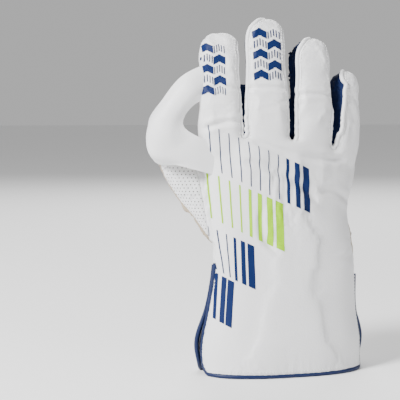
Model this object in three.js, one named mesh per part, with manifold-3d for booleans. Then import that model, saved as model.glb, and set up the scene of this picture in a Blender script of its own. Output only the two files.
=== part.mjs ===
// Wicketkeeping glove for the right hand, standing on its cuff with the fingers up.
// The back of the hand faces -Y, the palm +Y and the thumb side is -X. Lengths are in millimetres.
import * as THREE from 'three';
import { mergeVertices } from 'three/addons/utils/BufferGeometryUtils.js';
import Module from 'manifold-3d';

const wasm = await Module();
wasm.setup();

// Overall sizes
const CUFF_HEIGHT = 98;
const CUFF_WIDTH = 154;
const CUFF_DEPTH = 76;
const WRIST_WIDTH = 133;
const WRIST_DEPTH = 52;
const HAND_HEIGHT = 118;
const HAND_WIDTH = 152;
const HAND_DEPTH = 40;
const ARCH_DEPTH = 13;
const KNUCKLE_DROP = 13;

// Fingers and thumb
const FINGER_LENGTH = 109;
const FINGER_WIDTH = 38;
const FINGER_DEPTH = 30;
const FINGER_CURL = 10;
const THUMB_WIDTH = 35;
const THUMB_DEPTH = 30;
const THUMB_REACH = 60;
const THUMB_RISE = 115;
const THUMB_FORWARD = 31;

// Walls, seams and trim
const WALL = 2.6;
const SEAM_GAP = 0.3;
const GUSSET_DEPTH = 17;
const PIPING_RADIUS = 2.2;
const PIPING_FLAT = 0.5;
const CUFF_CORNER = 15;
const CUFF_SPLIT = 1.6;
const BACK_PIPING_RIGHT_TOP = 88;
const WELT_RADIUS = 2.3;
const WRIST_PANEL_HEIGHT = 22;
const WRIST_PANEL_WIDTH = 34;
const VENT_WIDTH = 50;
const WEB_WALL = 1.8;
const WEB_REACH = 46;
const WEB_FORWARD = 40;
const WEB_LOW = 182;
const WEB_TALL = 104;
const LINING_WALL = 1.0;

const KNUCKLE_HEIGHT = CUFF_HEIGHT + HAND_HEIGHT;
const HALF_HAND = HAND_WIDTH / 2;
const FAR = 400;
const HAND_STEPS = 24;
const FINGER_STEPS = 12;
const PIPING_STEPS = 29;
const WELT_STEPS = 8;
const WEB_STEPS = 12;
const SLIVER = 0.06;
const SQUARENESS = 2.5;

// Rings of the gauntlet, from its rim up to the wrist: height as a share of CUFF_HEIGHT,
// flare from 0 at the wrist size to 1 at the rim size, and lean as a share of WRIST_WIDTH
const CUFF_RINGS = [
  { up: 0.0, flare: 0.9, deepFlare: 1.0, lean: 0.0 },
  { up: 0.28, flare: 1.0, deepFlare: 0.95, lean: 0.0 },
  { up: 0.62, flare: 0.5, deepFlare: 0.5, lean: 0.008 },
  { up: 1.0, flare: 0.22, deepFlare: 0.12, lean: 0.028 },
];

// Rings of the hand, from the wrist up to the knuckles: height as a share of HAND_HEIGHT,
// spread from 0 at WRIST_WIDTH to 1 at HAND_WIDTH, thickness as a share of HAND_DEPTH,
// arch as a share of ARCH_DEPTH and drop as a share of KNUCKLE_DROP
const HAND_RINGS = [
  { up: 0.22, spread: 0.05, thick: 1.2, lean: 0.02, arch: 0.25, drop: 0.0 },
  { up: 0.45, spread: 0.0, thick: 1.06, lean: -0.004, arch: 0.5, drop: 0.0 },
  { up: 0.67, spread: 0.55, thick: 0.96, lean: 0.018, arch: 0.75, drop: 0.2 },
  { up: 0.86, spread: 0.98, thick: 0.85, lean: 0.016, arch: 1.0, drop: 0.7 },
  { up: 1.0, spread: 1.0, thick: 0.74, lean: 0.004, arch: 1.0, drop: 1.0 },
];

// The four fingers: centre as a share of HAND_WIDTH, width as a share of FINGER_WIDTH,
// depth as a share of FINGER_DEPTH and reach above its knuckle as a share of FINGER_LENGTH
const FINGERS = [
  { name: 'index', centre: -0.37, width: 1.02, deep: 0.97, reach: 0.885 },
  { name: 'middle', centre: -0.096, width: 1.0, deep: 1.0, reach: 1.0 },
  { name: 'ring', centre: 0.19, width: 0.93, deep: 0.97, reach: 0.87 },
  { name: 'little', centre: 0.418, width: 0.76, deep: 0.9, reach: 0.69 },
];

// Shape of one finger: height as a share of its reach, width and depth as shares of its own
const FINGER_RINGS = [
  { up: -0.14, wide: 0.8, deep: 0.9 },
  { up: 0.02, wide: 1.04, deep: 0.99 },
  { up: 0.28, wide: 1.04, deep: 1.0 },
  { up: 0.52, wide: 0.98, deep: 0.98 },
  { up: 0.66, wide: 0.95, deep: 0.94 },
  { up: 0.8, wide: 0.98, deep: 0.92 },
  { up: 0.9, wide: 0.9, deep: 0.8 },
  { up: 0.965, wide: 0.7, deep: 0.6 },
  { up: 1.0, wide: 0.38, deep: 0.3 },
];

// Centre line of the thumb from the palm to the tip: out as a share of THUMB_REACH from the
// root, forward as a share of THUMB_FORWARD and up as a share of THUMB_RISE
const THUMB_ROOT = new THREE.Vector3(-0.23 * HAND_WIDTH, 0.14 * HAND_DEPTH, CUFF_HEIGHT + 0.15 * HAND_HEIGHT);
const THUMB_RINGS = [
  { out: -0.06, forward: 0.0, up: 0.0, wide: 1.1, deep: 0.9 },
  { out: 0.18, forward: 0.22, up: 0.17, wide: 1.4, deep: 1.08 },
  { out: 0.45, forward: 0.5, up: 0.34, wide: 1.3, deep: 1.08 },
  { out: 0.71, forward: 0.7, up: 0.49, wide: 1.14, deep: 1.02 },
  { out: 0.91, forward: 0.83, up: 0.65, wide: 1.0, deep: 0.97 },
  { out: 0.97, forward: 0.92, up: 0.8, wide: 0.98, deep: 0.94 },
  { out: 0.99, forward: 0.97, up: 0.9, wide: 0.86, deep: 0.8 },
  { out: 1.0, forward: 1.0, up: 0.965, wide: 0.64, deep: 0.56 },
  { out: 1.0, forward: 1.02, up: 1.0, wide: 0.32, deep: 0.26 },
];

const MATERIALS = {
  leather: new THREE.MeshStandardMaterial({ color: 0xe9e9ec, roughness: 0.55, metalness: 0 }),
  facing: new THREE.MeshStandardMaterial({ color: 0xcfc3ae, roughness: 0.85, metalness: 0 }),
  gusset: new THREE.MeshStandardMaterial({ color: 0x16305f, roughness: 0.8, metalness: 0 }),
  piping: new THREE.MeshStandardMaterial({ color: 0x183468, roughness: 0.5, metalness: 0 }),
  lining: new THREE.MeshStandardMaterial({ color: 0xd8ccb8, roughness: 0.85, metalness: 0 }),
};

// Turns a closed three.js geometry into a solid that can be cut and joined
function solidOf(geometry) {
  const bare = geometry.clone();
  bare.deleteAttribute('normal');
  bare.deleteAttribute('uv');
  const merged = mergeVertices(bare, 1e-4);
  const mesh = new wasm.Mesh({
    numProp: 3,
    vertProperties: new Float32Array(merged.attributes.position.array),
    triVerts: new Uint32Array(merged.index.array),
  });
  return new wasm.Manifold(mesh);
}

// Keeps the largest separate piece of a cut solid
function largest(solid) {
  const pieces = solid.simplify(SLIVER).decompose();
  return pieces.reduce((best, piece) => (piece.volume() > best.volume() ? piece : best));
}

// Turns a solid back into a geometry
function geometryOf(solid) {
  const mesh = solid.getMesh();
  const geometry = new THREE.BufferGeometry();
  geometry.setAttribute('position', new THREE.BufferAttribute(new Float32Array(mesh.vertProperties), 3));
  geometry.setIndex(new THREE.BufferAttribute(new Uint32Array(mesh.triVerts), 1));
  geometry.computeVertexNormals();
  return geometry;
}

// Closed skin through rows of points, all with as many points, with a fan over each end
function loftSolid(rings) {
  const count = rings[0].length;
  const points = rings.flat();
  const faces = [];
  for (let row = 0; row < rings.length - 1; row += 1) {
    for (let step = 0; step < count; step += 1) {
      const next = (step + 1) % count;
      const low = row * count;
      const high = low + count;
      faces.push(low + step, low + next, high + next);
      faces.push(low + step, high + next, high + step);
    }
  }
  const ends = [0, rings.length - 1];
  for (const row of ends) {
    const centre = new THREE.Vector3();
    rings[row].forEach((point) => centre.add(point));
    centre.divideScalar(count);
    points.push(centre);
    for (let step = 0; step < count; step += 1) {
      const here = row * count + step;
      const next = row * count + ((step + 1) % count);
      faces.push(...(row === 0 ? [points.length - 1, next, here] : [points.length - 1, here, next]));
    }
  }
  return facedOut(points, faces);
}

// Builds a solid from points and faces, turned so that its faces point out
function facedOut(points, faces) {
  let volume = 0;
  for (let at = 0; at < faces.length; at += 3) {
    const [a, b, c] = [points[faces[at]], points[faces[at + 1]], points[faces[at + 2]]];
    volume += a.dot(b.clone().cross(c));
  }
  const ordered = volume > 0 ? faces : faces.toReversed();
  const geometry = new THREE.BufferGeometry();
  geometry.setAttribute('position', new THREE.Float32BufferAttribute(points.flatMap((p) => p.toArray()), 3));
  geometry.setIndex(ordered);
  return solidOf(geometry);
}

// Value at a height between the rows of a table, eased from row to row
function readTable(rows, key, column, at) {
  if (at <= rows[0][key]) {
    return rows[0][column];
  }
  const last = rows[rows.length - 1];
  if (at >= last[key]) {
    return last[column];
  }
  const high = rows.findIndex((row) => row[key] > at);
  const low = high - 1;
  const before = rows[Math.max(low - 1, 0)];
  const after = rows[Math.min(high + 1, rows.length - 1)];
  const span = rows[high][key] - rows[low][key];
  const share = (at - rows[low][key]) / span;
  const slopeLow = (rows[high][column] - before[column]) / (rows[high][key] - before[key] || span);
  const slopeHigh = (after[column] - rows[low][column]) / (after[key] - rows[low][key] || span);
  const square = share * share;
  const cube = square * share;
  return (2 * cube - 3 * square + 1) * rows[low][column]
    + (cube - 2 * square + share) * span * slopeLow
    + (3 * square - 2 * cube) * rows[high][column]
    + (cube - square) * span * slopeHigh;
}

// All rings of the gauntlet and hand as real sizes
const BODY_RINGS = [
  ...CUFF_RINGS.map((row) => ({
    height: row.up * CUFF_HEIGHT,
    halfWidth: THREE.MathUtils.lerp(WRIST_WIDTH, CUFF_WIDTH, row.flare) / 2,
    halfDepth: THREE.MathUtils.lerp(WRIST_DEPTH, CUFF_DEPTH, row.deepFlare) / 2,
    shift: row.lean * WRIST_WIDTH,
    arch: 0.1 * row.up * ARCH_DEPTH,
    drop: 0,
  })),
  ...HAND_RINGS.map((row) => ({
    height: CUFF_HEIGHT + row.up * HAND_HEIGHT,
    halfWidth: THREE.MathUtils.lerp(WRIST_WIDTH, HAND_WIDTH, row.spread) / 2,
    halfDepth: (row.thick * HAND_DEPTH) / 2,
    shift: row.lean * WRIST_WIDTH,
    arch: row.arch * ARCH_DEPTH,
    drop: row.drop * KNUCKLE_DROP,
  })),
];

// How far the middle of the glove lies towards the palm, at a place across and up
function middleDepth(across, height) {
  const arch = readTable(BODY_RINGS, 'height', 'arch', height);
  const curlShare = Math.max(0, (height - KNUCKLE_HEIGHT) / FINGER_LENGTH);
  return arch * (across / HALF_HAND) ** 2 + FINGER_CURL * curlShare ** 2;
}

// One point of a rounded-square section, before it is moved to its place
function sectionPoint(halfWidth, halfDepth, angle) {
  const power = 2 / SQUARENESS;
  const cos = Math.cos(angle);
  const sin = Math.sin(angle);
  return new THREE.Vector2(
    halfWidth * Math.sign(cos) * Math.abs(cos) ** power,
    halfDepth * Math.sign(sin) * Math.abs(sin) ** power,
  );
}

// Share of the knuckle line's fall towards the little finger at a place across the hand
function fallShare(across) {
  return THREE.MathUtils.smoothstep(across, 0.2 * HALF_HAND, 0.75 * HALF_HAND);
}

// Point of the gauntlet's or hand's outer face, moved out by an offset
function bodyPoint(height, angle, offset) {
  const read = (column) => readTable(BODY_RINGS, 'height', column, height);
  const flat = sectionPoint(read('halfWidth') + offset, read('halfDepth') + offset, angle);
  const across = flat.x + read('shift');
  const fall = read('drop') * fallShare(across);
  return new THREE.Vector3(across, flat.y + middleDepth(across, Math.min(height, KNUCKLE_HEIGHT)), height - fall);
}

// Form of the gauntlet and hand, grown by an offset, reaching below the rim if it is a cutter
function bodyForm(offset, reachBelow) {
  const heights = [];
  for (let index = 0; index < BODY_RINGS.length - 1; index += 1) {
    const low = BODY_RINGS[index].height;
    const high = BODY_RINGS[index + 1].height;
    const parts = high - low > 0.25 * HAND_HEIGHT ? 2 : 1;
    for (let part = 0; part < parts; part += 1) {
      heights.push(low + ((high - low) * part) / parts);
    }
  }
  heights.push(KNUCKLE_HEIGHT);
  const ringAt = (height) => {
    const ring = [];
    for (let step = 0; step < HAND_STEPS; step += 1) {
      ring.push(bodyPoint(height, (step / HAND_STEPS) * 2 * Math.PI, offset));
    }
    return ring;
  };
  const rings = heights.map(ringAt);
  rings[rings.length - 1].forEach((point) => point.setZ(point.z + offset));
  if (reachBelow > 0) {
    rings.unshift(ringAt(0).map((point) => point.setZ(-reachBelow)));
  }
  return loftSolid(rings);
}

// Point of a finger's outer face, moved out by an offset
function fingerPoint(finger, row, angle, offset) {
  const reach = finger.reach * FINGER_LENGTH;
  const halfWidth = (row.wide * finger.width * FINGER_WIDTH) / 2 + offset;
  const halfDepth = (row.deep * finger.deep * FINGER_DEPTH) / 2 + offset;
  const flat = sectionPoint(halfWidth, halfDepth, angle);
  const centre = finger.centre * HAND_WIDTH;
  const turn = Math.atan((2 * ARCH_DEPTH * centre) / HALF_HAND ** 2);
  flat.rotateAround(new THREE.Vector2(), turn);
  const height = KNUCKLE_HEIGHT - KNUCKLE_DROP * fallShare(centre) + row.up * reach;
  return new THREE.Vector3(centre + flat.x, flat.y + middleDepth(centre, height), height);
}

// Form of one finger, grown by an offset
function fingerForm(finger, offset) {
  const rings = FINGER_RINGS.map((row) => {
    const ring = [];
    for (let step = 0; step < FINGER_STEPS; step += 1) {
      ring.push(fingerPoint(finger, row, (step / FINGER_STEPS) * 2 * Math.PI, offset));
    }
    return ring;
  });
  rings[rings.length - 1].forEach((point) => point.setZ(point.z + offset));
  return loftSolid(rings);
}

const THUMB_LINE = new THREE.CatmullRomCurve3(THUMB_RINGS.map((row) => new THREE.Vector3(
  THUMB_ROOT.x - row.out * THUMB_REACH,
  THUMB_ROOT.y + row.forward * THUMB_FORWARD,
  THUMB_ROOT.z + row.up * THUMB_RISE,
)));

// Point of the thumb's outer face at a place along its rings, moved out by an offset
function thumbPoint(at, angle, offset) {
  const share = at / (THUMB_RINGS.length - 1);
  const centre = THUMB_LINE.getPoint(share);
  const along = THUMB_LINE.getTangent(share);
  const wide = new THREE.Vector3().crossVectors(along, new THREE.Vector3(0, -1, 0)).normalize();
  const deep = new THREE.Vector3().crossVectors(along, wide).normalize();
  const low = THUMB_RINGS[Math.floor(at)];
  const high = THUMB_RINGS[Math.ceil(at)];
  const mix = (column) => THREE.MathUtils.lerp(low[column], high[column], at - Math.floor(at));
  const halfWidth = (mix('wide') * THUMB_WIDTH) / 2 + offset;
  const halfDepth = (mix('deep') * THUMB_DEPTH) / 2 + offset;
  const flat = sectionPoint(halfWidth, halfDepth, angle);
  return centre.addScaledVector(wide, -flat.x).addScaledVector(deep, flat.y);
}

// Form of the thumb, grown by an offset
function thumbForm(offset) {
  const rings = THUMB_RINGS.map((row, index) => {
    const ring = [];
    for (let step = 0; step < FINGER_STEPS; step += 1) {
      ring.push(thumbPoint(index, (step / FINGER_STEPS) * 2 * Math.PI, offset));
    }
    return ring;
  });
  const tip = THUMB_LINE.getTangent(1).multiplyScalar(offset);
  rings[rings.length - 1].forEach((point) => point.add(tip));
  return loftSolid(rings);
}

// All of the glove without its thumb, as one full form
function handForm(offset, reachBelow) {
  return FINGERS.reduce((form, finger) => form.add(fingerForm(finger, offset)), bodyForm(offset, reachBelow));
}

// Block that fills one side, -1 or 1 in Y, of the surface y = depthAt(x, z)
function sideBlock(depthAt, side) {
  const columns = 8;
  const rows = 14;
  const left = -1.1 * HAND_WIDTH;
  const low = -0.2 * CUFF_HEIGHT;
  const width = 2.2 * HAND_WIDTH;
  const tall = 1.1 * (KNUCKLE_HEIGHT + FINGER_LENGTH) - low;
  const near = [];
  const away = [];
  for (let row = 0; row <= rows; row += 1) {
    for (let column = 0; column <= columns; column += 1) {
      const x = left + (width * column) / columns;
      const z = low + (tall * row) / rows;
      near.push(new THREE.Vector3(x, depthAt(x, z), z));
      away.push(new THREE.Vector3(x, side * FAR, z));
    }
  }
  return sheetSolid(near, away, columns, rows);
}

// Solid between two grids of points with as many columns and rows
function sheetSolid(near, away, columns, rows) {
  const wide = columns + 1;
  const shift = near.length;
  const faces = [];
  const quad = (a, b, c, d) => faces.push(a, b, c, a, c, d);
  for (let row = 0; row < rows; row += 1) {
    for (let column = 0; column < columns; column += 1) {
      const at = row * wide + column;
      quad(at, at + 1, at + wide + 1, at + wide);
      quad(shift + at + wide, shift + at + wide + 1, shift + at + 1, shift + at);
    }
  }
  for (let column = 0; column < columns; column += 1) {
    const top = rows * wide + column;
    quad(shift + column, shift + column + 1, column + 1, column);
    quad(top, top + 1, shift + top + 1, shift + top);
  }
  for (let row = 0; row < rows; row += 1) {
    const leftEdge = row * wide;
    const rightEdge = leftEdge + columns;
    quad(leftEdge, leftEdge + wide, shift + leftEdge + wide, shift + leftEdge);
    quad(shift + rightEdge, shift + rightEdge + wide, rightEdge + wide, rightEdge);
  }
  return facedOut([...near, ...away], faces);
}

// Box between two corners
function boxSolid(low, high) {
  const size = new THREE.Vector3().subVectors(high, low);
  const geometry = new THREE.BoxGeometry(size.x, size.y, size.z);
  const centre = new THREE.Vector3().addVectors(low, high).multiplyScalar(0.5);
  geometry.translate(centre.x, centre.y, centre.z);
  return solidOf(geometry);
}

// Box that reaches far out on all sides but the ones given
function wideBox({ left = -FAR, right = FAR, low = -FAR, high = FAR }) {
  return boxSolid(new THREE.Vector3(left, -FAR, low), new THREE.Vector3(right, FAR, high));
}

// Round cord along a list of points
function cordSolid(points, radius, steps) {
  const section = new THREE.Shape();
  section.absarc(0, 0, radius, 0, 2 * Math.PI);
  const geometry = new THREE.ExtrudeGeometry(section, {
    steps,
    curveSegments: 4,
    extrudePath: new THREE.CatmullRomCurve3(points, false, 'centripetal'),
  });
  return solidOf(geometry);
}

// How far the edge of a gauntlet panel lies from the middle of the side, in Y, at a height
function panelEdge(height) {
  const open = 1 - THREE.MathUtils.smoothstep(height, 0.25 * CUFF_HEIGHT, 0.9 * CUFF_HEIGHT);
  return PIPING_RADIUS + SEAM_GAP + (CUFF_SPLIT / 2) * open;
}

// Points along the edge of one gauntlet panel: down the thumb side, round the corner, along
// the rim and up the other side. The side is -1 for the back and 1 for the palm.
function cuffEdge(side, leftTop, rightTop) {
  const rimRing = BODY_RINGS[0];
  const rimHeight = PIPING_RADIUS - PIPING_FLAT;
  const inset = -WALL / 2;
  const rimLength = (Math.PI * (rimRing.halfWidth + rimRing.halfDepth)) / 2;
  const cornerShare = CUFF_CORNER / rimLength;
  const pointAt = (share, height) => {
    const halfDepth = readTable(BODY_RINGS, 'height', 'halfDepth', height) + inset;
    const startAngle = Math.asin((panelEdge(height) / halfDepth) ** (SQUARENESS / 2));
    const angle = Math.PI + startAngle + share * (Math.PI - 2 * startAngle);
    const point = bodyPoint(height, angle, inset);
    if (side > 0) {
      point.y = 2 * middleDepth(point.x, height) - point.y;
    }
    return point;
  };
  const points = [];
  const straight = 5;
  const corner = 4;
  const bottom = 14;
  for (let step = 0; step < straight; step += 1) {
    points.push(pointAt(0, leftTop + ((CUFF_CORNER - leftTop) * step) / straight));
  }
  const turnAt = (step) => (step / corner) * (Math.PI / 2);
  for (let step = 0; step < corner; step += 1) {
    const share = cornerShare * (1 - Math.cos(turnAt(step)));
    points.push(pointAt(share, rimHeight + (CUFF_CORNER - rimHeight) * (1 - Math.sin(turnAt(step)))));
  }
  for (let step = 0; step <= bottom; step += 1) {
    points.push(pointAt(cornerShare + ((1 - 2 * cornerShare) * step) / bottom, rimHeight));
  }
  for (let step = 1; step <= corner; step += 1) {
    const share = 1 - cornerShare * (1 - Math.sin(turnAt(step)));
    points.push(pointAt(share, rimHeight + (CUFF_CORNER - rimHeight) * (1 - Math.cos(turnAt(step)))));
  }
  for (let step = 1; step <= straight; step += 1) {
    points.push(pointAt(1, CUFF_CORNER + ((rightTop - CUFF_CORNER) * step) / straight));
  }
  return points;
}

// Points along the thumb-side edge of a finger's back, from the crotch to near the tip
function weltEdge(finger) {
  const points = [];
  const steps = 9;
  for (let step = 0; step <= steps; step += 1) {
    const up = THREE.MathUtils.lerp(-0.02, 0.93, step / steps);
    const row = { up, wide: readTable(FINGER_RINGS, 'up', 'wide', up), deep: readTable(FINGER_RINGS, 'up', 'deep', up) };
    const halfDepth = (row.deep * finger.deep * FINGER_DEPTH) / 2 - WALL / 2;
    const sine = Math.min(0.94, ((GUSSET_DEPTH / 2) / halfDepth) ** (SQUARENESS / 2));
    points.push(fingerPoint(finger, row, Math.PI + Math.asin(sine), -WALL / 2));
  }
  return points;
}

// Extruded oblong with round ends, reaching through the glove in Y, for the thumb's vent panel
function ventBlock(grow) {
  const start = THUMB_LINE.getPoint(0.42);
  const end = THUMB_LINE.getPoint(0);
  const along = new THREE.Vector2(end.x - start.x, end.z - start.z).normalize();
  const radius = VENT_WIDTH / 2 + grow;
  const angle = Math.atan2(along.y, along.x);
  const shape = new THREE.Shape();
  shape.absarc(start.x, start.z, radius, angle + Math.PI / 2, angle + 1.5 * Math.PI);
  shape.lineTo(end.x + radius * Math.sin(angle), end.z - radius * Math.cos(angle));
  shape.lineTo(end.x - radius * Math.sin(angle), end.z + radius * Math.cos(angle));
  const geometry = new THREE.ExtrudeGeometry(shape, { depth: 2 * FAR, bevelEnabled: false, curveSegments: 12 });
  geometry.rotateX(Math.PI / 2);
  geometry.translate(0, FAR, 0);
  return solidOf(geometry);
}

// The web seen from its inner edge to its free edge, from the index finger round the thumb tip
// to the hand: out as a share of WEB_REACH from the hand's side, forward as a share of
// WEB_FORWARD and up as a share of WEB_TALL above WEB_LOW
const WEB_ROWS = [
  { inner: [-0.2, 0.22, 0.69], middle: [-0.2, 0.2, 0.8], outer: [-0.2, 0.2, 0.9], edge: [-0.25, 0.24, 1.0] },
  { inner: [0.1, 0.22, 0.65], middle: [0.16, 0.13, 0.73], outer: [0.24, 0.2, 0.8], edge: [0.31, 0.35, 0.86] },
  { inner: [0.28, 0.25, 0.57], middle: [0.41, 0.19, 0.6], outer: [0.56, 0.28, 0.64], edge: [0.67, 0.5, 0.65] },
  { inner: [0.36, 0.25, 0.48], middle: [0.6, 0.2, 0.49], outer: [0.85, 0.4, 0.5], edge: [0.86, 0.85, 0.46] },
  { inner: [0.33, 0.22, 0.42], middle: [0.66, 0.18, 0.37], outer: [0.96, 0.42, 0.32], edge: [0.7, 1.08, 0.3] },
  { inner: [0.17, 0.17, 0.37], middle: [0.52, 0.18, 0.26], outer: [0.87, 0.32, 0.2], edge: [0.78, 0.75, 0.15] },
  { inner: [0.02, 0.12, 0.34], middle: [0.15, 0.12, 0.23], outer: [0.3, 0.15, 0.14], edge: [0.42, 0.24, 0.1] },
  { inner: [-0.3, 0.1, 0.31], middle: [-0.3, 0.1, 0.21], outer: [-0.3, 0.1, 0.1], edge: [-0.3, 0.12, 0.01] },
];

// Place of a web point given in shares
function webPlace([out, forward, up]) {
  return new THREE.Vector3(-HALF_HAND - out * WEB_REACH, forward * WEB_FORWARD, WEB_LOW + up * WEB_TALL);
}

// Sheet of the web between two depths measured from its middle, towards its inner face
function webSheet(from, to) {
  const columns = 5;
  const rails = ['inner', 'middle', 'outer', 'edge'].map((column) => new THREE.CatmullRomCurve3(
    WEB_ROWS.map((row) => webPlace(row[column])),
    false,
    'centripetal',
  ));
  const grid = [];
  for (let row = 0; row <= WEB_STEPS; row += 1) {
    const across = new THREE.CatmullRomCurve3(rails.map((rail) => rail.getPoint(row / WEB_STEPS)));
    grid.push(Array.from({ length: columns + 1 }, (_, column) => across.getPoint(column / columns)));
  }
  const near = [];
  const away = [];
  for (let row = 0; row <= WEB_STEPS; row += 1) {
    for (let column = 0; column <= columns; column += 1) {
      const after = grid[Math.min(row + 1, WEB_STEPS)][column];
      const before = grid[Math.max(row - 1, 0)][column];
      const right = grid[row][Math.min(column + 1, columns)];
      const left = grid[row][Math.max(column - 1, 0)];
      const along = new THREE.Vector3().subVectors(after, before);
      const across = new THREE.Vector3().subVectors(right, left);
      const inward = new THREE.Vector3().crossVectors(along, across).normalize();
      near.push(grid[row][column].clone().addScaledVector(inward, from));
      away.push(grid[row][column].clone().addScaledVector(inward, to));
    }
  }
  return sheetSolid(near, away, columns, WEB_STEPS);
}

// Full forms and the shell between the outer and inner face
const outerHand = handForm(0, 0);
const innerHand = handForm(-WALL, 20);
const outerForm = outerHand.add(thumbForm(0));
const innerForm = innerHand.add(thumbForm(-WALL));
const shell = outerForm.subtract(innerForm);

// Trim cords and the room that they need in the panels
const backEdgePoints = cuffEdge(-1, CUFF_HEIGHT + 4, BACK_PIPING_RIGHT_TOP);
const palmEdgePoints = cuffEdge(1, CUFF_HEIGHT + 2, BACK_PIPING_RIGHT_TOP - 4);
const ground = wideBox({ high: 0 });
const backPiping = cordSolid(backEdgePoints, PIPING_RADIUS, PIPING_STEPS).subtract(ground);
const palmPiping = cordSolid(palmEdgePoints, PIPING_RADIUS, PIPING_STEPS).subtract(ground);
const pipingRoom = cordSolid(backEdgePoints, PIPING_RADIUS + SEAM_GAP, PIPING_STEPS)
  .add(cordSolid(palmEdgePoints, PIPING_RADIUS + SEAM_GAP, PIPING_STEPS));
const weltedFingers = FINGERS.slice(1);
const welts = weltedFingers.map((finger) => cordSolid(weltEdge(finger), WELT_RADIUS, WELT_STEPS));
const weltRoom = weltedFingers
  .map((finger) => cordSolid(weltEdge(finger), WELT_RADIUS + SEAM_GAP, WELT_STEPS))
  .reduce((all, cord) => all.add(cord));

// Half the depth of the side strip between back and palm: the room of the two pipings on the
// gauntlet, the seam alone at the wrist, and the gusset's depth at the fingers
function sideHalf(height) {
  const cuff = 1 - THREE.MathUtils.smoothstep(height, CUFF_HEIGHT, CUFF_HEIGHT + 0.08 * HAND_HEIGHT);
  const rise = THREE.MathUtils.smoothstep(height, CUFF_HEIGHT + 0.2 * HAND_HEIGHT, KNUCKLE_HEIGHT);
  const piping = panelEdge(height) + PIPING_RADIUS + SEAM_GAP;
  return Math.max(cuff * piping, (rise * GUSSET_DEPTH) / 2);
}

const frontOfBack = sideBlock((x, z) => middleDepth(x, z) - sideHalf(z) - SEAM_GAP / 2, -1);
const frontOfPalm = sideBlock((x, z) => middleDepth(x, z) + sideHalf(z) - SEAM_GAP / 2, -1);
const behindBack = sideBlock((x, z) => middleDepth(x, z) - sideHalf(z) + SEAM_GAP / 2, 1);
const behindPalm = sideBlock((x, z) => middleDepth(x, z) + sideHalf(z) + SEAM_GAP / 2, 1);

// Where the navy strips lie between the fingers, and where the panels keep off the piping
const centreOf = (finger) => finger.centre * HAND_WIDTH;
const gussetLow = KNUCKLE_HEIGHT - KNUCKLE_DROP - 0.1 * HAND_HEIGHT;
const stripZone = wideBox({ left: centreOf(FINGERS[0]), right: centreOf(FINGERS[3]), low: gussetLow });
const rimTrim = wideBox({ low: 2 * PIPING_RADIUS - PIPING_FLAT + SEAM_GAP });
const backUpper = wideBox({ low: CUFF_HEIGHT });

// The hand's own shell, with the thumb's opening in it
const handShell = shell.intersect(outerHand);
const backSide = handShell.intersect(frontOfBack)
  .add(handShell.intersect(frontOfPalm).subtract(stripZone).intersect(backUpper));
const leatherBack = largest(backSide.intersect(rimTrim).subtract(pipingRoom).subtract(weltRoom));
const palmSide = handShell.intersect(behindPalm).intersect(rimTrim).subtract(pipingRoom);
const cuffPalm = largest(palmSide.intersect(wideBox({ high: CUFF_HEIGHT - SEAM_GAP / 2 })));
const palmUpper = palmSide.intersect(wideBox({ low: CUFF_HEIGHT + SEAM_GAP / 2 }));
const wristRight = -WRIST_WIDTH / 2 + WRIST_PANEL_WIDTH;
const wristTop = CUFF_HEIGHT + WRIST_PANEL_HEIGHT;
const wristPanel = largest(palmUpper.intersect(wideBox({ right: wristRight, high: wristTop })));
const facingCut = wideBox({ right: wristRight + SEAM_GAP, high: wristTop + SEAM_GAP });
const palmFacing = largest(palmUpper.subtract(facingCut));

// The navy strips, one in each gap between two fingers
const strip = handShell.intersect(behindBack).intersect(frontOfPalm).subtract(weltRoom);
const gussets = FINGERS.slice(0, 3).map((finger, index) => {
  const left = centreOf(finger) + SEAM_GAP;
  const right = centreOf(FINGERS[index + 1]) - SEAM_GAP;
  return largest(strip.intersect(wideBox({ left, right, low: gussetLow + SEAM_GAP })));
});

// The thumb outside the hand, parted into facing, back and vent panel
const thumbShell = shell.subtract(handForm(SEAM_GAP, 0));
const thumbDepthAt = (height) => {
  const rows = THUMB_RINGS.map((row) => ({
    height: THUMB_ROOT.z + row.up * THUMB_RISE,
    depth: THUMB_ROOT.y + row.forward * THUMB_FORWARD,
  }));
  return readTable(rows, 'height', 'depth', height);
};
const thumbFront = sideBlock((x, z) => thumbDepthAt(z) - SEAM_GAP / 2, -1);
const thumbRear = sideBlock((x, z) => thumbDepthAt(z) + SEAM_GAP / 2, 1);
const thumbBackSide = thumbShell.intersect(thumbFront);
const thumbFacing = largest(thumbShell.intersect(thumbRear));
const thumbVent = largest(thumbBackSide.intersect(ventBlock(0)));
const thumbBack = largest(thumbBackSide.subtract(ventBlock(SEAM_GAP)));

// The web and its lining, seated on the finger, the hand and the thumb
const seat = handForm(SEAM_GAP, 0).add(thumbForm(SEAM_GAP));
const webStrap = largest(webSheet(-WEB_WALL, 0).subtract(seat));
const strapRoom = webSheet(-WEB_WALL, 0.8 * SEAM_GAP);
const webLining = largest(webSheet(SEAM_GAP, SEAM_GAP + LINING_WALL).subtract(strapRoom).subtract(seat));

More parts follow.
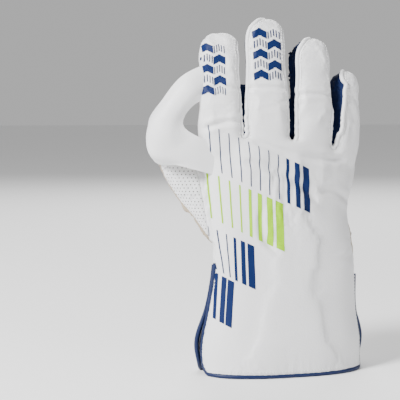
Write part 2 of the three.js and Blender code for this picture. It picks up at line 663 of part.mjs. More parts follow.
const pieces = [
  { name: 'leather_back', solid: leatherBack, material: MATERIALS.leather },
  { name: 'palm_facing', solid: palmFacing, material: MATERIALS.facing },
  { name: 'gusset_index_middle', solid: gussets[0], material: MATERIALS.gusset },
  { name: 'gusset_middle_ring', solid: gussets[1], material: MATERIALS.gusset },
  { name: 'gusset_ring_little', solid: gussets[2], material: MATERIALS.gusset },
  ...welts.map((solid, index) => ({
    name: `${weltedFingers[index].name}_welt`,
    solid,
    material: MATERIALS.leather,
  })),
  { name: 'thumb_back', solid: thumbBack, material: MATERIALS.leather },
  { name: 'thumb_vent_panel', solid: thumbVent, material: MATERIALS.leather },
  { name: 'thumb_facing', solid: thumbFacing, material: MATERIALS.facing },
  { name: 'wrist_panel', solid: wristPanel, material: MATERIALS.leather },
  { name: 'cuff_palm_panel', solid: cuffPalm, material: MATERIALS.leather },
  { name: 'web_strap', solid: webStrap, material: MATERIALS.leather },
  { name: 'web_lining', solid: webLining, material: MATERIALS.lining },
  { name: 'back_cuff_piping', solid: backPiping, material: MATERIALS.piping },
  { name: 'palm_cuff_piping', solid: palmPiping, material: MATERIALS.piping },
];

const group = new THREE.Group();
for (const piece of pieces) {
  const mesh = new THREE.Mesh(geometryOf(piece.solid), piece.material);
  mesh.name = piece.name;
  group.add(mesh);
}

// The origin is the middle of the foot of the whole glove's box
const extent = new THREE.Box3().setFromObject(group);
const middle = extent.getCenter(new THREE.Vector3());
group.position.set(-middle.x, -middle.y, -extent.min.z);

export default group;
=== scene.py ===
"""Looks of a right-hand wicketkeeping glove that stands on its gauntlet cuff."""
import logging
import math
from dataclasses import dataclass, field
from enum import Enum
from typing import Callable, NamedTuple, Sequence

import bmesh
import bpy
import numpy as np
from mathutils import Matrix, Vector, noise
from mathutils.bvhtree import BVHTree
from mathutils.kdtree import KDTree


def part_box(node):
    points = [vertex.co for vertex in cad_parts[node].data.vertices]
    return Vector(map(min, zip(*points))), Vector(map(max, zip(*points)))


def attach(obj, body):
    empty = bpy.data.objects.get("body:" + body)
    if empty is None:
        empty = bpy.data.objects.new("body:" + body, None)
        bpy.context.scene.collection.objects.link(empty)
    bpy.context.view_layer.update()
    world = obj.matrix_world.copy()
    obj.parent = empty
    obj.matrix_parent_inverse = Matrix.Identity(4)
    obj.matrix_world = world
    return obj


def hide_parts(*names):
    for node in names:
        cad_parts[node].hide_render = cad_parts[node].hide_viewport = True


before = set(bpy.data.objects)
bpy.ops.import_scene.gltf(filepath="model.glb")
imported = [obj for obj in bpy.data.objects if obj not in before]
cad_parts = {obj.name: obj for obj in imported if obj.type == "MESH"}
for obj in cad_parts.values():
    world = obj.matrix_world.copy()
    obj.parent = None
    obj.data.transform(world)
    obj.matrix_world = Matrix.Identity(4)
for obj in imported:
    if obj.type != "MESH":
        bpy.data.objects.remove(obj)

LOG = logging.getLogger("glove")
MM = 0.001
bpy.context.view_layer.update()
Array = np.ndarray
Field = Callable[[Array], Array]
Pair = tuple[Array, Array]
Faces = list[tuple[int, ...]]
Point2 = tuple[float, float]


class Panel(Enum):
    """Panels that the padded form is cut into, each named as its node."""

    BACK = "leather_back"
    PALM = "palm_facing"
    GUSSET_1 = "gusset_index_middle"
    GUSSET_2 = "gusset_middle_ring"
    GUSSET_3 = "gusset_ring_little"
    THUMB_BACK = "thumb_back"
    THUMB_VENT = "thumb_vent_panel"
    THUMB_FACING = "thumb_facing"
    WRIST = "wrist_panel"
    CUFF_PALM = "cuff_palm_panel"


GUSSETS = (Panel.GUSSET_1, Panel.GUSSET_2, Panel.GUSSET_3)


class CuffRing(NamedTuple):
    """Ring of the gauntlet: shares of its height, of its flare and of the wrist's width."""

    up: float
    flare: float
    deep_flare: float
    lean: float


class HandRing(NamedTuple):
    """Ring of the hand: shares of its height, spread, thickness, wrist width, arch and drop."""

    up: float
    spread: float
    thick: float
    lean: float
    arch: float
    drop: float


class Finger(NamedTuple):
    """Finger: centre as a share of the hand's width, the rest as shares of finger sizes.

    The pads are how far the palm side grows past the back, as shares of the finger's width.
    """

    name: str
    centre: float
    width: float
    deep: float
    reach: float
    strip: float
    left_pad: float
    right_pad: float


class TubeRing(NamedTuple):
    """Ring of a finger: height as a share of its reach, width and depth as shares of its own."""

    up: float
    wide: float
    deep: float


class ThumbRing(NamedTuple):
    """Ring of the thumb: place along its line and shares of its width and depth."""

    out: float
    forward: float
    up: float
    wide: float
    deep: float


CUFF_RINGS = (
    CuffRing(0.0, 0.9, 1.0, 0.0),
    CuffRing(0.28, 1.0, 0.95, 0.0),
    CuffRing(0.62, 0.5, 0.5, 0.008),
    CuffRing(1.0, 0.22, 0.12, 0.028),
)
HAND_RINGS = (
    HandRing(0.22, 0.05, 1.2, 0.02, 0.25, 0.0),
    HandRing(0.45, 0.0, 1.06, -0.004, 0.5, 0.0),
    HandRing(0.67, 0.55, 0.96, 0.018, 0.75, 0.2),
    HandRing(0.86, 0.98, 0.85, 0.016, 1.0, 0.7),
    HandRing(1.0, 1.0, 0.74, 0.004, 1.0, 1.0),
)
FINGERS = (
    Finger("index", -0.37, 1.02, 0.97, 0.885, 1.0, 0.0, 0.024),
    Finger("middle", -0.096, 1.0, 1.0, 1.0, 0.75, 0.024, 0.066),
    Finger("ring", 0.19, 0.93, 0.97, 0.87, 0.85, 0.066, 0.013),
    Finger("little", 0.418, 0.76, 0.9, 0.69, 1.45, 0.013, 0.0),
)
FINGER_RINGS = (
    TubeRing(-0.14, 0.8, 0.9),
    TubeRing(0.02, 1.09, 0.99),
    TubeRing(0.28, 1.06, 1.0),
    TubeRing(0.52, 0.98, 0.98),
    TubeRing(0.66, 0.95, 0.94),
    TubeRing(0.8, 0.98, 0.92),
    TubeRing(0.9, 0.9, 0.8),
    TubeRing(0.965, 0.7, 0.6),
    TubeRing(1.0, 0.38, 0.3),
)
THUMB_RINGS = (
    ThumbRing(-0.06, 0.0, 0.0, 1.1, 0.9),
    ThumbRing(0.18, 0.22, 0.17, 1.4, 1.08),
    ThumbRing(0.45, 0.5, 0.34, 1.3, 1.08),
    ThumbRing(0.71, 0.7, 0.49, 1.14, 1.02),
    ThumbRing(0.91, 0.83, 0.65, 1.0, 0.97),
    ThumbRing(0.97, 0.92, 0.8, 0.98, 0.94),
    ThumbRing(0.99, 0.97, 0.9, 0.86, 0.8),
    ThumbRing(1.0, 1.0, 0.965, 0.64, 0.56),
    ThumbRing(1.0, 1.02, 1.0, 0.32, 0.26),
)


def ease(share: Array) -> Array:
    """Smooth step from 0 to 1.

    Args:
        share: Values that run past 0 and 1 on either side.

    Returns:
        The eased values.
    """
    held = np.clip(share, 0.0, 1.0)
    return held * held * (3 - 2 * held)


def unit(vectors: Array) -> Array:
    """Vectors brought to length 1."""
    return vectors / np.maximum(np.linalg.norm(vectors, axis=-1, keepdims=True), 1e-12)


def noise_at(places: Array) -> Array:
    """Blender's noise at each place."""
    return np.array([noise.noise(Vector(place)) for place in places])


def run_of(points: Array) -> Array:
    """Distance along a line at each of its points."""
    return np.concatenate([[0], np.cumsum(np.linalg.norm(np.diff(points, axis=0), axis=1))])


def read_rows(keys: Sequence[float], values: Sequence[float], at: Array) -> Array:
    """Reads a table at any place, eased from row to row.

    Args:
        keys: Rising places of the rows.
        values: One value for each row.
        at: Places to read.

    Returns:
        The values there.
    """
    key = np.asarray(keys, float)
    value = np.asarray(values, float)
    slope = np.empty_like(value)
    slope[0] = (value[1] - value[0]) / (key[1] - key[0])
    slope[-1] = (value[-1] - value[-2]) / (key[-1] - key[-2])
    slope[1:-1] = (value[2:] - value[:-2]) / (key[2:] - key[:-2])
    place = np.clip(at, key[0], key[-1])
    low = np.clip(np.searchsorted(key, place, side="right") - 1, 0, len(key) - 2)
    span = key[low + 1] - key[low]
    t = (place - key[low]) / span
    return (
        (2 * t**3 - 3 * t**2 + 1) * value[low]
        + (t**3 - 2 * t**2 + t) * span * slope[low]
        + (3 * t**2 - 2 * t**3) * value[low + 1]
        + (t**3 - t**2) * span * slope[low + 1]
    )


def rounded_square(half_wide: Array, half_deep: Array, angle: Array, power: float) -> Pair:
    """Point of a rounded-square section.

    Args:
        half_wide: Half width.
        half_deep: Half depth.
        angle: Angle round the section.
        power: Squareness, 2 for an ellipse.

    Returns:
        Its two coordinates.
    """
    cos, sin = np.cos(angle), np.sin(angle)
    return (
        half_wide * np.sign(cos) * np.abs(cos) ** (2 / power),
        half_deep * np.sign(sin) * np.abs(sin) ** (2 / power),
    )


@dataclass(frozen=True)
class GloveShape:
    """Sizes of the padded glove and the formulas that place its surface and seams.

    Places are in the glove's own frame: X across from the middle of the cuff, -Y the back of
    the hand, Z up from the rim.
    """

    cuff_height: float = 98 * MM
    cuff_width: float = 154 * MM
    cuff_depth: float = 76 * MM
    wrist_width: float = 133 * MM
    wrist_depth: float = 52 * MM
    hand_height: float = 118 * MM
    hand_width: float = 152 * MM
    hand_depth: float = 40 * MM
    arch_depth: float = 13 * MM
    knuckle_drop: float = 13 * MM
    finger_length: float = 109 * MM
    finger_width: float = 38 * MM
    finger_depth: float = 30 * MM
    finger_curl: float = 10 * MM
    thumb_width: float = 35 * MM
    thumb_depth: float = 30 * MM
    thumb_reach: float = 60 * MM
    thumb_rise: float = 115 * MM
    thumb_forward: float = 31 * MM
    gusset_depth: float = 17 * MM
    tip_cover: float = 0.8
    pad_growth: float = 0.9
    dome_cover: float = 1.1
    piping_radius: float = 2.2 * MM
    piping_flat: float = 0.5 * MM
    cuff_corner: float = 15 * MM
    cuff_split: float = 1.6 * MM
    edge_bulge: float = 4.6 * MM
    seam_gap: float = 0.3 * MM
    vent_width: float = 50 * MM
    wrist_panel_height: float = 22 * MM
    wrist_panel_width: float = 34 * MM
    squareness: float = 2.5

    @property
    def knuckle_height(self) -> float:
        """Height of the crotch line."""
        return self.cuff_height + self.hand_height

    @property
    def thumb_root(self) -> tuple[float, float, float]:
        """Where the thumb's line starts inside the palm.

        Returns:
            Its X, Y and Z.
        """
        return (
            -0.23 * self.hand_width,
            0.14 * self.hand_depth,
            self.cuff_height + 0.15 * self.hand_height,
        )

    def body_rows(self) -> dict[str, list[float]]:
        """Rings of gauntlet and hand as real sizes.

        Returns:
            One list of values for each column.
        """
        rows: dict[str, list[float]] = {
            "height": [], "half_width": [], "half_depth": [], "shift": [], "arch": [], "drop": []
        }
        for ring in CUFF_RINGS:
            width = self.wrist_width + ring.flare * (self.cuff_width - self.wrist_width)
            depth = self.wrist_depth + ring.deep_flare * (self.cuff_depth - self.wrist_depth)
            values = (ring.up * self.cuff_height, width / 2, depth / 2,
                      ring.lean * self.wrist_width, 0.1 * ring.up * self.arch_depth, 0.0)
            for column, value in zip(rows.values(), values):
                column.append(value)
        for hand in HAND_RINGS:
            width = self.wrist_width + hand.spread * (self.hand_width - self.wrist_width)
            values = (self.cuff_height + hand.up * self.hand_height, width / 2,
                      hand.thick * self.hand_depth / 2, hand.lean * self.wrist_width,
                      hand.arch * self.arch_depth, hand.drop * self.knuckle_drop)
            for column, value in zip(rows.values(), values):
                column.append(value)
        return rows

    def body_value(self, column: str, height: Array) -> Array:
        """Value of one column of the body's rings at a height."""
        rows = self.body_rows()
        return read_rows(rows["height"], rows[column], height)

    def middle_depth(self, across: Array, height: Array) -> Array:
        """How far the middle of the glove lies towards the palm.

        Args:
            across: Places across the glove.
            height: Their heights.

        Returns:
            The depths.
        """
        arch = self.body_value("arch", height)
        curl = np.clip((height - self.knuckle_height) / self.finger_length, 0, None)
        return arch * (across / (self.hand_width / 2)) ** 2 + self.finger_curl * curl**2

    def fall_share(self, across: Array) -> Array:
        """Share of the knuckle line's fall towards the little finger."""
        half = self.hand_width / 2
        return ease((across - 0.2 * half) / (0.55 * half))

    def body_point(self, height: Array, angle: Array, offset: float = 0.0) -> Array:
        """Point of the outer face of gauntlet or hand.

        Args:
            height: Height of the ring.
            angle: Angle round the ring.
            offset: How far the ring is grown.

        Returns:
            Points, one row each.
        """
        half_width = self.body_value("half_width", height) + offset
        half_depth = self.body_value("half_depth", height) + offset
        x, y = rounded_square(half_width, half_depth, angle, self.squareness)
        x = x + self.body_value("shift", height)
        fall = self.body_value("drop", height) * self.fall_share(x)
        middle = self.middle_depth(x, np.minimum(height, self.knuckle_height))
        return np.stack([x, y + middle, height - fall], axis=-1)

    def finger_point(self, finger: Finger, up: Array, angle: Array, offset: float = 0.0) -> Array:
        """Point of a finger's outer face.

        Args:
            finger: Which finger.
            up: Height as a share of its reach.
            angle: Angle round the section.
            offset: How far the section is grown.

        Returns:
            Points, one row each.
        """
        keys = [ring.up for ring in FINGER_RINGS]
        wide = read_rows(keys, [ring.wide for ring in FINGER_RINGS], up)
        deep = read_rows(keys, [ring.deep for ring in FINGER_RINGS], up)
        half_width = wide * finger.width * self.finger_width / 2 + offset
        half_depth = deep * finger.deep * self.finger_depth / 2 + offset
        x, y = rounded_square(half_width, half_depth, angle, self.squareness)
        pad = np.where(x < 0, finger.left_pad, finger.right_pad) * self.finger_width
        pad = pad * (1 + self.pad_growth * ease((up - 0.4) / 0.25) * (1 - ease((up - 0.85) / 0.12)))
        x = x + pad * x / half_width * ease((y / half_depth + 0.1) / 0.8)
        centre = finger.centre * self.hand_width
        turn = math.atan(2 * self.arch_depth * centre / (self.hand_width / 2) ** 2)
        base = self.knuckle_height - self.knuckle_drop * float(self.fall_share(np.array(centre)))
        height = base + up * finger.reach * self.finger_length
        middle = self.middle_depth(np.full_like(height, centre), height)
        turned_x = x * math.cos(turn) - y * math.sin(turn)
        turned_y = x * math.sin(turn) + y * math.cos(turn)
        return np.stack([centre + turned_x, middle + turned_y, height], axis=-1)

    def thumb_line(self, at: Array) -> Array:
        """Middle line of the thumb, with its place given as a share of its rings.

        Args:
            at: Places along it.

        Returns:
            Points, one row each.
        """
        sizes = (-self.thumb_reach, self.thumb_forward, self.thumb_rise)
        return np.stack([
            start + size * self.thumb_share(column, at)
            for start, size, column in zip(self.thumb_root, sizes, ("out", "forward", "up"))
        ], axis=-1)

    def thumb_share(self, column: str, at: Array) -> Array:
        """Share in one column of the thumb's rings, at places along them."""
        keys = np.arange(len(THUMB_RINGS)) / (len(THUMB_RINGS) - 1)
        return read_rows(keys, [getattr(ring, column) for ring in THUMB_RINGS], at)

    def thumb_point(self, at: Array, angle: Array, offset: float = 0.0) -> Array:
        """Point of the thumb's outer face.

        Args:
            at: Place along the thumb as a share of its rings.
            angle: Angle round the section.
            offset: How far the section is grown.

        Returns:
            Points, one row each.
        """
        wide = self.thumb_share("wide", at) * self.thumb_width / 2 + offset
        deep = self.thumb_share("deep", at) * self.thumb_depth / 2 + offset
        x, y = rounded_square(wide, deep, angle, self.squareness)
        step = 0.01
        before, after = np.maximum(at - step, 0), np.minimum(at + step, 1)
        along = unit(self.thumb_line(after) - self.thumb_line(before))
        across = unit(np.cross(along, np.broadcast_to((0.0, -1.0, 0.0), along.shape)))
        inward = np.cross(along, across)
        return self.thumb_line(at) - across * x[..., None] + inward * y[..., None]

    def panel_edge(self, height: Array) -> Array:
        """How far a gauntlet panel's edge lies from the middle of the side."""
        share = 1 - ease((height - 0.25 * self.cuff_height) / (0.65 * self.cuff_height))
        return self.piping_radius + self.seam_gap + self.cuff_split / 2 * share

    def side_half(self, height: Array) -> Array:
        """Half the depth of the strip between back and palm.

        Args:
            height: Heights to read.

        Returns:
            Half depths.
        """
        cuff = 1 - ease((height - self.cuff_height) / (0.08 * self.hand_height))
        rise = ease((height - self.cuff_height - 0.2 * self.hand_height) / (0.8 * self.hand_height))
        return np.maximum(cuff * self.panel_edge(height), rise * self.gusset_depth / 2)

    def centre_of(self, index: int) -> float:
        """Centre of a finger across the hand."""
        return FINGERS[index].centre * self.hand_width

    def thumb_depth_at(self, height: Array) -> Array:
        """Depth of the thumb's seam between back and facing at a height.

        Args:
            height: Heights to read.

        Returns:
            The depths.
        """
        root = self.thumb_root
        keys = [root[2] + ring.up * self.thumb_rise for ring in THUMB_RINGS]
        depths = [root[1] + ring.forward * self.thumb_forward for ring in THUMB_RINGS]
        return read_rows(keys, depths, height)

    def finger_shares(self, place: Array) -> tuple[Array, Array, Array]:
        """Where each place lies on its finger.

        Args:
            place: Places on the form.

        Returns:
            Share of the finger's reach, how wide its left gusset is cut, and how far it lies right
            of the left side.
        """
        centres = np.array([finger.centre * self.hand_width for finger in FINGERS])
        own = np.abs(place[:, 0:1] - centres).argmin(axis=1)
        base = self.knuckle_height - self.knuckle_drop * self.fall_share(centres)
        reach = np.array([finger.reach for finger in FINGERS]) * self.finger_length
        up = (place[:, 2] - base[own]) / reach[own]
        left = place[:, 0] < centres[own]
        wide = np.array([finger.strip for finger in FINGERS])[own] - 1
        half = np.array([finger.width for finger in FINGERS])[own] * self.finger_width / 2
        right = np.where(own == 0, 1.0, ease(1 + (place[:, 0] - centres[own]) / (0.6 * half)))
        return up, 1 + np.where(left, wide, 0.0) * ease((up - 0.04) / 0.3), right

    def front_seam(self, place: Array) -> Array:
        """Distance behind the seam that ends the back of the hand.

        Args:
            place: Places on the form, one row each.

        Returns:
            Distances.
        """
        x, y, z = place.T
        up, wide, right = self.finger_shares(place)
        tip = 1 - self.tip_cover * right * ease((up - 0.84) / 0.12)
        return y - self.middle_depth(x, z) + self.side_half(z) * wide * tip

    def rear_seam(self, place: Array) -> Array:
        """Distance behind the seam that starts the palm side.

        Args:
            place: Places on the form, one row each.

        Returns:
            Distances.
        """
        x, y, z = place.T
        up, _, _ = self.finger_shares(place)
        tip = 1 + self.dome_cover * ease((up - 0.8) / 0.16)
        return y - self.middle_depth(x, z) - self.side_half(z) * tip

    def thumb_seam(self, place: Array) -> Array:
        """Distance outside the hand, above the fillet that the thumb meets it with.

        Args:
            place: Places on the form, one row each.

        Returns:
            Distances, below 0 inside the hand.
        """
        x, y, z = place.T
        height = np.minimum(z, self.knuckle_height)
        half_width = self.body_value("half_width", height)
        half_depth = self.body_value("half_depth", height)
        across = np.abs(x - self.body_value("shift", height)) / half_width
        deep = np.abs(y - self.middle_depth(x, z)) / half_depth
        power = self.squareness
        excess = ((across**power + deep**power) ** (1 / power) - 1) * half_depth
        line = self.thumb_line(np.linspace(0, 1, 60))
        gap = np.full(len(place), 1.0)
        for point in line:
            gap = np.minimum(gap, np.linalg.norm(place - point, axis=1))
        reach = (32 - 10.5 * ease((z - 188 * MM) / (12 * MM))) * MM
        beside = np.minimum(excess - 1.6 * MM, reach - gap)
        return np.where(x < -0.2 * self.hand_width, beside, -0.5 * half_depth)

    def thumb_side(self, place: Array) -> Array:
        """Distance behind the thumb's seam between back and facing."""
        return place[:, 1] - self.thumb_depth_at(place[:, 2])

    def vent_edge(self, place: Array) -> Array:
        """Distance outside the rounded end of the thumb's vent panel, seen from the back.

        Args:
            place: Places on the form, one row each.

        Returns:
            Distances.
        """
        line = self.thumb_line(np.array([0.42, 0.0]))[:, [0, 2]]
        along = line[1] - line[0]
        offset = place[:, [0, 2]] - line[0]
        share = np.clip(offset @ along / (along @ along), 0, None)
        return np.linalg.norm(offset - share[:, None] * along, axis=1) - self.vent_width / 2

    @property
    def rim_height(self) -> float:
        """Height of the piping's middle along the rim."""
        return self.piping_radius - self.piping_flat

    @property
    def rim_length(self) -> float:
        """Length of half the rim.

        Returns:
            The length.
        """
        half_width = self.body_value("half_width", np.array(0.0))
        half_depth = self.body_value("half_depth", np.array(0.0))
        return float(math.pi * (half_width + half_depth) / 2)

    def cuff_outline(self, place: Array) -> Array:
        """Distance inside the rounded outline of the gauntlet's two panels.

        Args:
            place: Places on the form, one row each.

        Returns:
            Distances.
        """
        x, y, z = place.T
        half_width = self.body_value("half_width", z)
        half_depth = self.body_value("half_depth", z)
        power = self.squareness / 2
        across = x - self.body_value("shift", z)
        cos = np.sign(across) * (np.abs(across) / half_width) ** power
        sin = (np.abs(y - self.middle_depth(x, z)) / half_depth) ** power
        start = np.arcsin(np.minimum((self.panel_edge(z) / half_depth) ** power, 1))
        share = (np.arctan2(sin, cos) - start) / (math.pi - 2 * start)
        side = np.minimum(share, 1 - share) * self.rim_length
        up = z - self.rim_height
        corner = self.cuff_corner
        rounded = corner - np.hypot(corner - side, corner - up)
        return np.where((side < corner) & (up < corner), rounded, np.minimum(side, up))

    def cuff_edge(self, side: int, left_top: float, right_top: float, inset: float) -> Array:
        """Path of the piping round one gauntlet panel.

        Args:
            side: -1 for the back and 1 for the palm.
            left_top: Height where it starts, on the thumb's side.
            right_top: Height where it ends.
            inset: How far the path lies outside the form's face.

        Returns:
            Its points.
        """
        low, corner = self.rim_height, self.cuff_corner
        turn = np.linspace(0, math.pi / 2, 12)
        bend = corner / self.rim_length
        rows = [(0.0, height) for height in np.linspace(left_top, corner + low, 24)[:-1]]
        rows += [(bend * (1 - math.cos(t)), low + corner * (1 - math.sin(t))) for t in turn]
        rows += [(share, low) for share in np.linspace(bend, 1 - bend, 60)[1:-1]]
        rows += [(1 - bend * (1 - math.sin(t)), low + corner * (1 - math.cos(t))) for t in turn]
        rows += [(1.0, height) for height in np.linspace(corner + low, right_top, 24)[1:]]
        share, height = np.array(rows).T
        half_depth = self.body_value("half_depth", height) + inset
        edge = np.minimum(self.panel_edge(height) / half_depth, 1)
        start = np.arcsin(edge ** (self.squareness / 2))
        points = self.body_point(height, math.pi + start + share * (math.pi - 2 * start), inset)
        if side > 0:
            points[:, 1] = 2 * self.middle_depth(points[:, 0], height) - points[:, 1]
        return points

    def palm_bulge(self, place: Array) -> Array:
        """How far the edges of the gauntlet's palm panel stand out past the back panel's.

        Args:
            place: Places on the form, one row each.

        Returns:
            Distances across, with their sign.
        """
        x, y, z = place.T
        across = (x - self.body_value("shift", z)) / self.body_value("half_width", z)
        low = np.exp(-(((z - 0.3 * self.cuff_height) / (0.24 * self.cuff_height)) ** 2))
        edge = ease((np.abs(across) - 0.6) / 0.4) * ease((y - self.middle_depth(x, z)) / MM)
        return np.sign(across) * self.edge_bulge * low * edge

    def cuff_line(self, place: Array) -> Array:
        """Height above the seam between gauntlet and hand."""
        return place[:, 2] - self.cuff_height

    def gusset_foot(self, place: Array) -> Array:
        """Height above the foot of the finger gussets."""
        return place[:, 2] - (self.knuckle_height - self.knuckle_drop - 0.1 * self.hand_height)

    def finger_plane(self, index: int) -> Field:
        """Distance to the right of a finger's middle."""
        return lambda place: place[:, 0] - self.centre_of(index)

    def wrist_side(self, place: Array) -> Array:
        """Distance to the right of the wrist panel."""
        return place[:, 0] + self.wrist_width / 2 - self.wrist_panel_width

    def wrist_top(self, place: Array) -> Array:
        """Height above the wrist panel."""
        return place[:, 2] - self.cuff_height - self.wrist_panel_height

    def cuff_outline_below(self, place: Array) -> Array:
        """The gauntlet's outline, kept off the hand above it."""
        return np.where(place[:, 2] < self.cuff_height, self.cuff_outline(place), self.cuff_corner)

    def seams(self) -> list[Field]:
        """Every line that the form is cut along.

        Returns:
            One field for each line.
        """
        return [
            self.cuff_outline_below, self.front_seam, self.rear_seam, self.thumb_seam,
            self.thumb_side, self.vent_edge,
            self.cuff_line, self.gusset_foot, self.wrist_side, self.wrist_top,
            *(self.finger_plane(index) for index in range(len(FINGERS))),
        ]

    def panel_at(self, place: Array) -> Array:
        """Panel that each place belongs to.

        Args:
            place: Places on the uncut form, one row each.

        Returns:
            Places of the panels in the Panel list, -1 for the open slit beside the cuff.
        """
        order = list(Panel)
        front, rear = self.front_seam(place), self.rear_seam(place)
        above_cuff = self.cuff_line(place) > 0
        in_strip = (
            (self.gusset_foot(place) > 0)
            & (self.finger_plane(0)(place) > 0)
            & (self.finger_plane(3)(place) < 0)
        )
        label = np.full(len(place), order.index(Panel.BACK))
        label[rear > 0] = order.index(Panel.PALM)
        label[(rear > 0) & ~above_cuff] = order.index(Panel.CUFF_PALM)
        wrist = (rear > 0) & above_cuff & (self.wrist_side(place) < 0) & (self.wrist_top(place) < 0)
        label[wrist] = order.index(Panel.WRIST)
        label[~above_cuff & (self.cuff_outline(place) < 0)] = -1
        strip = in_strip & (front > 0) & (rear < 0)
        for index, panel in enumerate(GUSSETS):
            label[strip & (self.finger_plane(index)(place) > 0)] = order.index(panel)
        thumb = self.thumb_seam(place) > 0
        facing = self.thumb_side(place) > 0
        label[thumb & facing] = order.index(Panel.THUMB_FACING)
        label[thumb & ~facing] = order.index(Panel.THUMB_BACK)
        label[thumb & ~facing & (self.vent_edge(place) < 0)] = order.index(Panel.THUMB_VENT)
        return label


@dataclass
class Surface:
    """Triangle mesh that keeps, for every vertex, the place where the seams are drawn."""

    place: Array
    rest: Array
    faces: Array
    held: set[int] = field(default_factory=set)

    def normals(self) -> Array:
        """Normals of the vertices.

        Returns:
            Unit vectors, one row each.
        """
        corner = self.place[self.faces]
        face = np.cross(corner[:, 1] - corner[:, 0], corner[:, 2] - corner[:, 0])
        total = np.zeros_like(self.place)
        for column in range(3):
            np.add.at(total, self.faces[:, column], face)
        return unit(total)

    def sides(self) -> Array:
        """Sides of the triangles as rising pairs of vertices: all first ones, then the rest."""
        pairs = [self.faces[:, ends] for ends in ([0, 1], [1, 2], [2, 0])]
        return np.sort(np.concatenate(pairs), axis=1)

    def edges(self) -> Array:
        """Edges as rising pairs of vertices, each once."""
        return np.unique(self.sides(), axis=0)

    def cut(self, level_at: Field) -> None:
        """Cuts the triangles along the line where a field is zero.

        Args:
            level_at: The field, read at the rest places.
        """
        near = 0.22
        level = level_at(self.rest)
        edges = self.edges()
        low, high = level[edges[:, 0]], level[edges[:, 1]]
        crossing = (low * high < 0) & (np.abs(low - high) < 6 * MM)
        pairs = edges[crossing]
        share = low[crossing] / (low[crossing] - high[crossing])
        pull = np.minimum(share, 1 - share)
        for at in np.argsort(pull):
            if pull[at] > near:
                break
            a, b = pairs[at] if share[at] < 0.5 else pairs[at][::-1]
            if level[a] == 0 or level[b] == 0:
                continue
            if a not in self.held:
                self.place[a] += pull[at] * (self.place[b] - self.place[a])
                self.rest[a] += pull[at] * (self.rest[b] - self.rest[a])
                level[a] = 0.0
            elif pull[at] < 0.04:
                level[a] = 0.0
        low, high = level[edges[:, 0]], level[edges[:, 1]]
        crossing = (low * high < 0) & (np.abs(low - high) < 6 * MM)
        pairs = edges[crossing]
        share = (low[crossing] / (low[crossing] - high[crossing]))[:, None]
        start = len(self.place)
        split = {(int(a), int(b)): start + at for at, (a, b) in enumerate(pairs)}
        for name in ("place", "rest"):
            values = getattr(self, name)
            new = values[pairs[:, 0]] * (1 - share) + values[pairs[:, 1]] * share
            setattr(self, name, np.concatenate([values, new]))
        self.held.update(range(start, len(self.place)))
        self.held.update(np.flatnonzero(level == 0).tolist())
        touched = np.zeros(start, bool)
        touched[pairs.ravel()] = True
        waiting = touched[self.faces].sum(axis=1) >= 2
        made: Faces = []
        for face in self.faces[waiting]:
            made.extend(self.split_face([int(v) for v in face], split))
        self.faces = np.concatenate([self.faces[~waiting], np.array(made, int).reshape(-1, 3)])

    @staticmethod
    def split_face(face: list[int], split: dict[tuple[int, int], int]) -> Faces:
        """Triangles that one triangle is cut into.

        Args:
            face: Its three vertices.
            split: New vertices by the edge that they lie on.

        Returns:
            One, two or three triangles.
        """
        new = [split.get((min(a, b), max(a, b))) for a, b in zip(face, face[1:] + face[:1])]
        count = sum(vertex is not None for vertex in new)
        if count == 0:
            return [tuple(face)]
        if count == 1:
            turn = next(at for at in range(3) if new[at] is not None)
            a, b, c = face[turn:] + face[:turn]
            middle = new[turn]
            return [(a, middle, c), (middle, b, c)]
        turn = next(at for at in range(3) if new[at] is None)
        a, b, c = face[turn:] + face[:turn]
        first, second = new[(turn + 1) % 3], new[(turn + 2) % 3]
        return [(a, b, first), (a, first, second), (second, first, c)]

    def absorb_crumbs(self, label: Array) -> Array:
        """Gives the loose crumbs of each panel to the panel round them.

        Args:
            label: Panel of each face.

        Returns:
            The mended panels.
        """
        around: dict[int, list[int]] = {}
        for number, face in enumerate(self.faces.tolist()):
            for vertex in face:
                around.setdefault(vertex, []).append(number)
        fixed = label.copy()
        for own in np.unique(label):
            waiting = set(np.flatnonzero(label == own).tolist())
            parts: list[list[int]] = []
            while waiting:
                part = [waiting.pop()]
                for number in part:
                    near = {
                        other for vertex in self.faces[number] for other in around[int(vertex)]
                    } & waiting
                    waiting -= near
                    part.extend(near)
                parts.append(part)
            parts.sort(key=len)
            for part in parts[:-1]:
                beside = [
                    fixed[other] for number in part for vertex in self.faces[number]
                    for other in around[int(vertex)] if fixed[other] != own and fixed[other] >= 0
                ]
                if beside:
                    fixed[part] = np.bincount(beside).argmax()
        return fixed

    def seam_points(self, label: Array) -> Array:
        """Vertices that lie between two panels.

        Args:
            label: Panel of each face.

        Returns:
            Their numbers.
        """
        lowest = np.full(len(self.place), 99)
        highest = np.full(len(self.place), -99)
        for column in range(3):
            np.minimum.at(lowest, self.faces[:, column], label)
            np.maximum.at(highest, self.faces[:, column], label)
        return np.flatnonzero((lowest != highest) & (highest > -99))


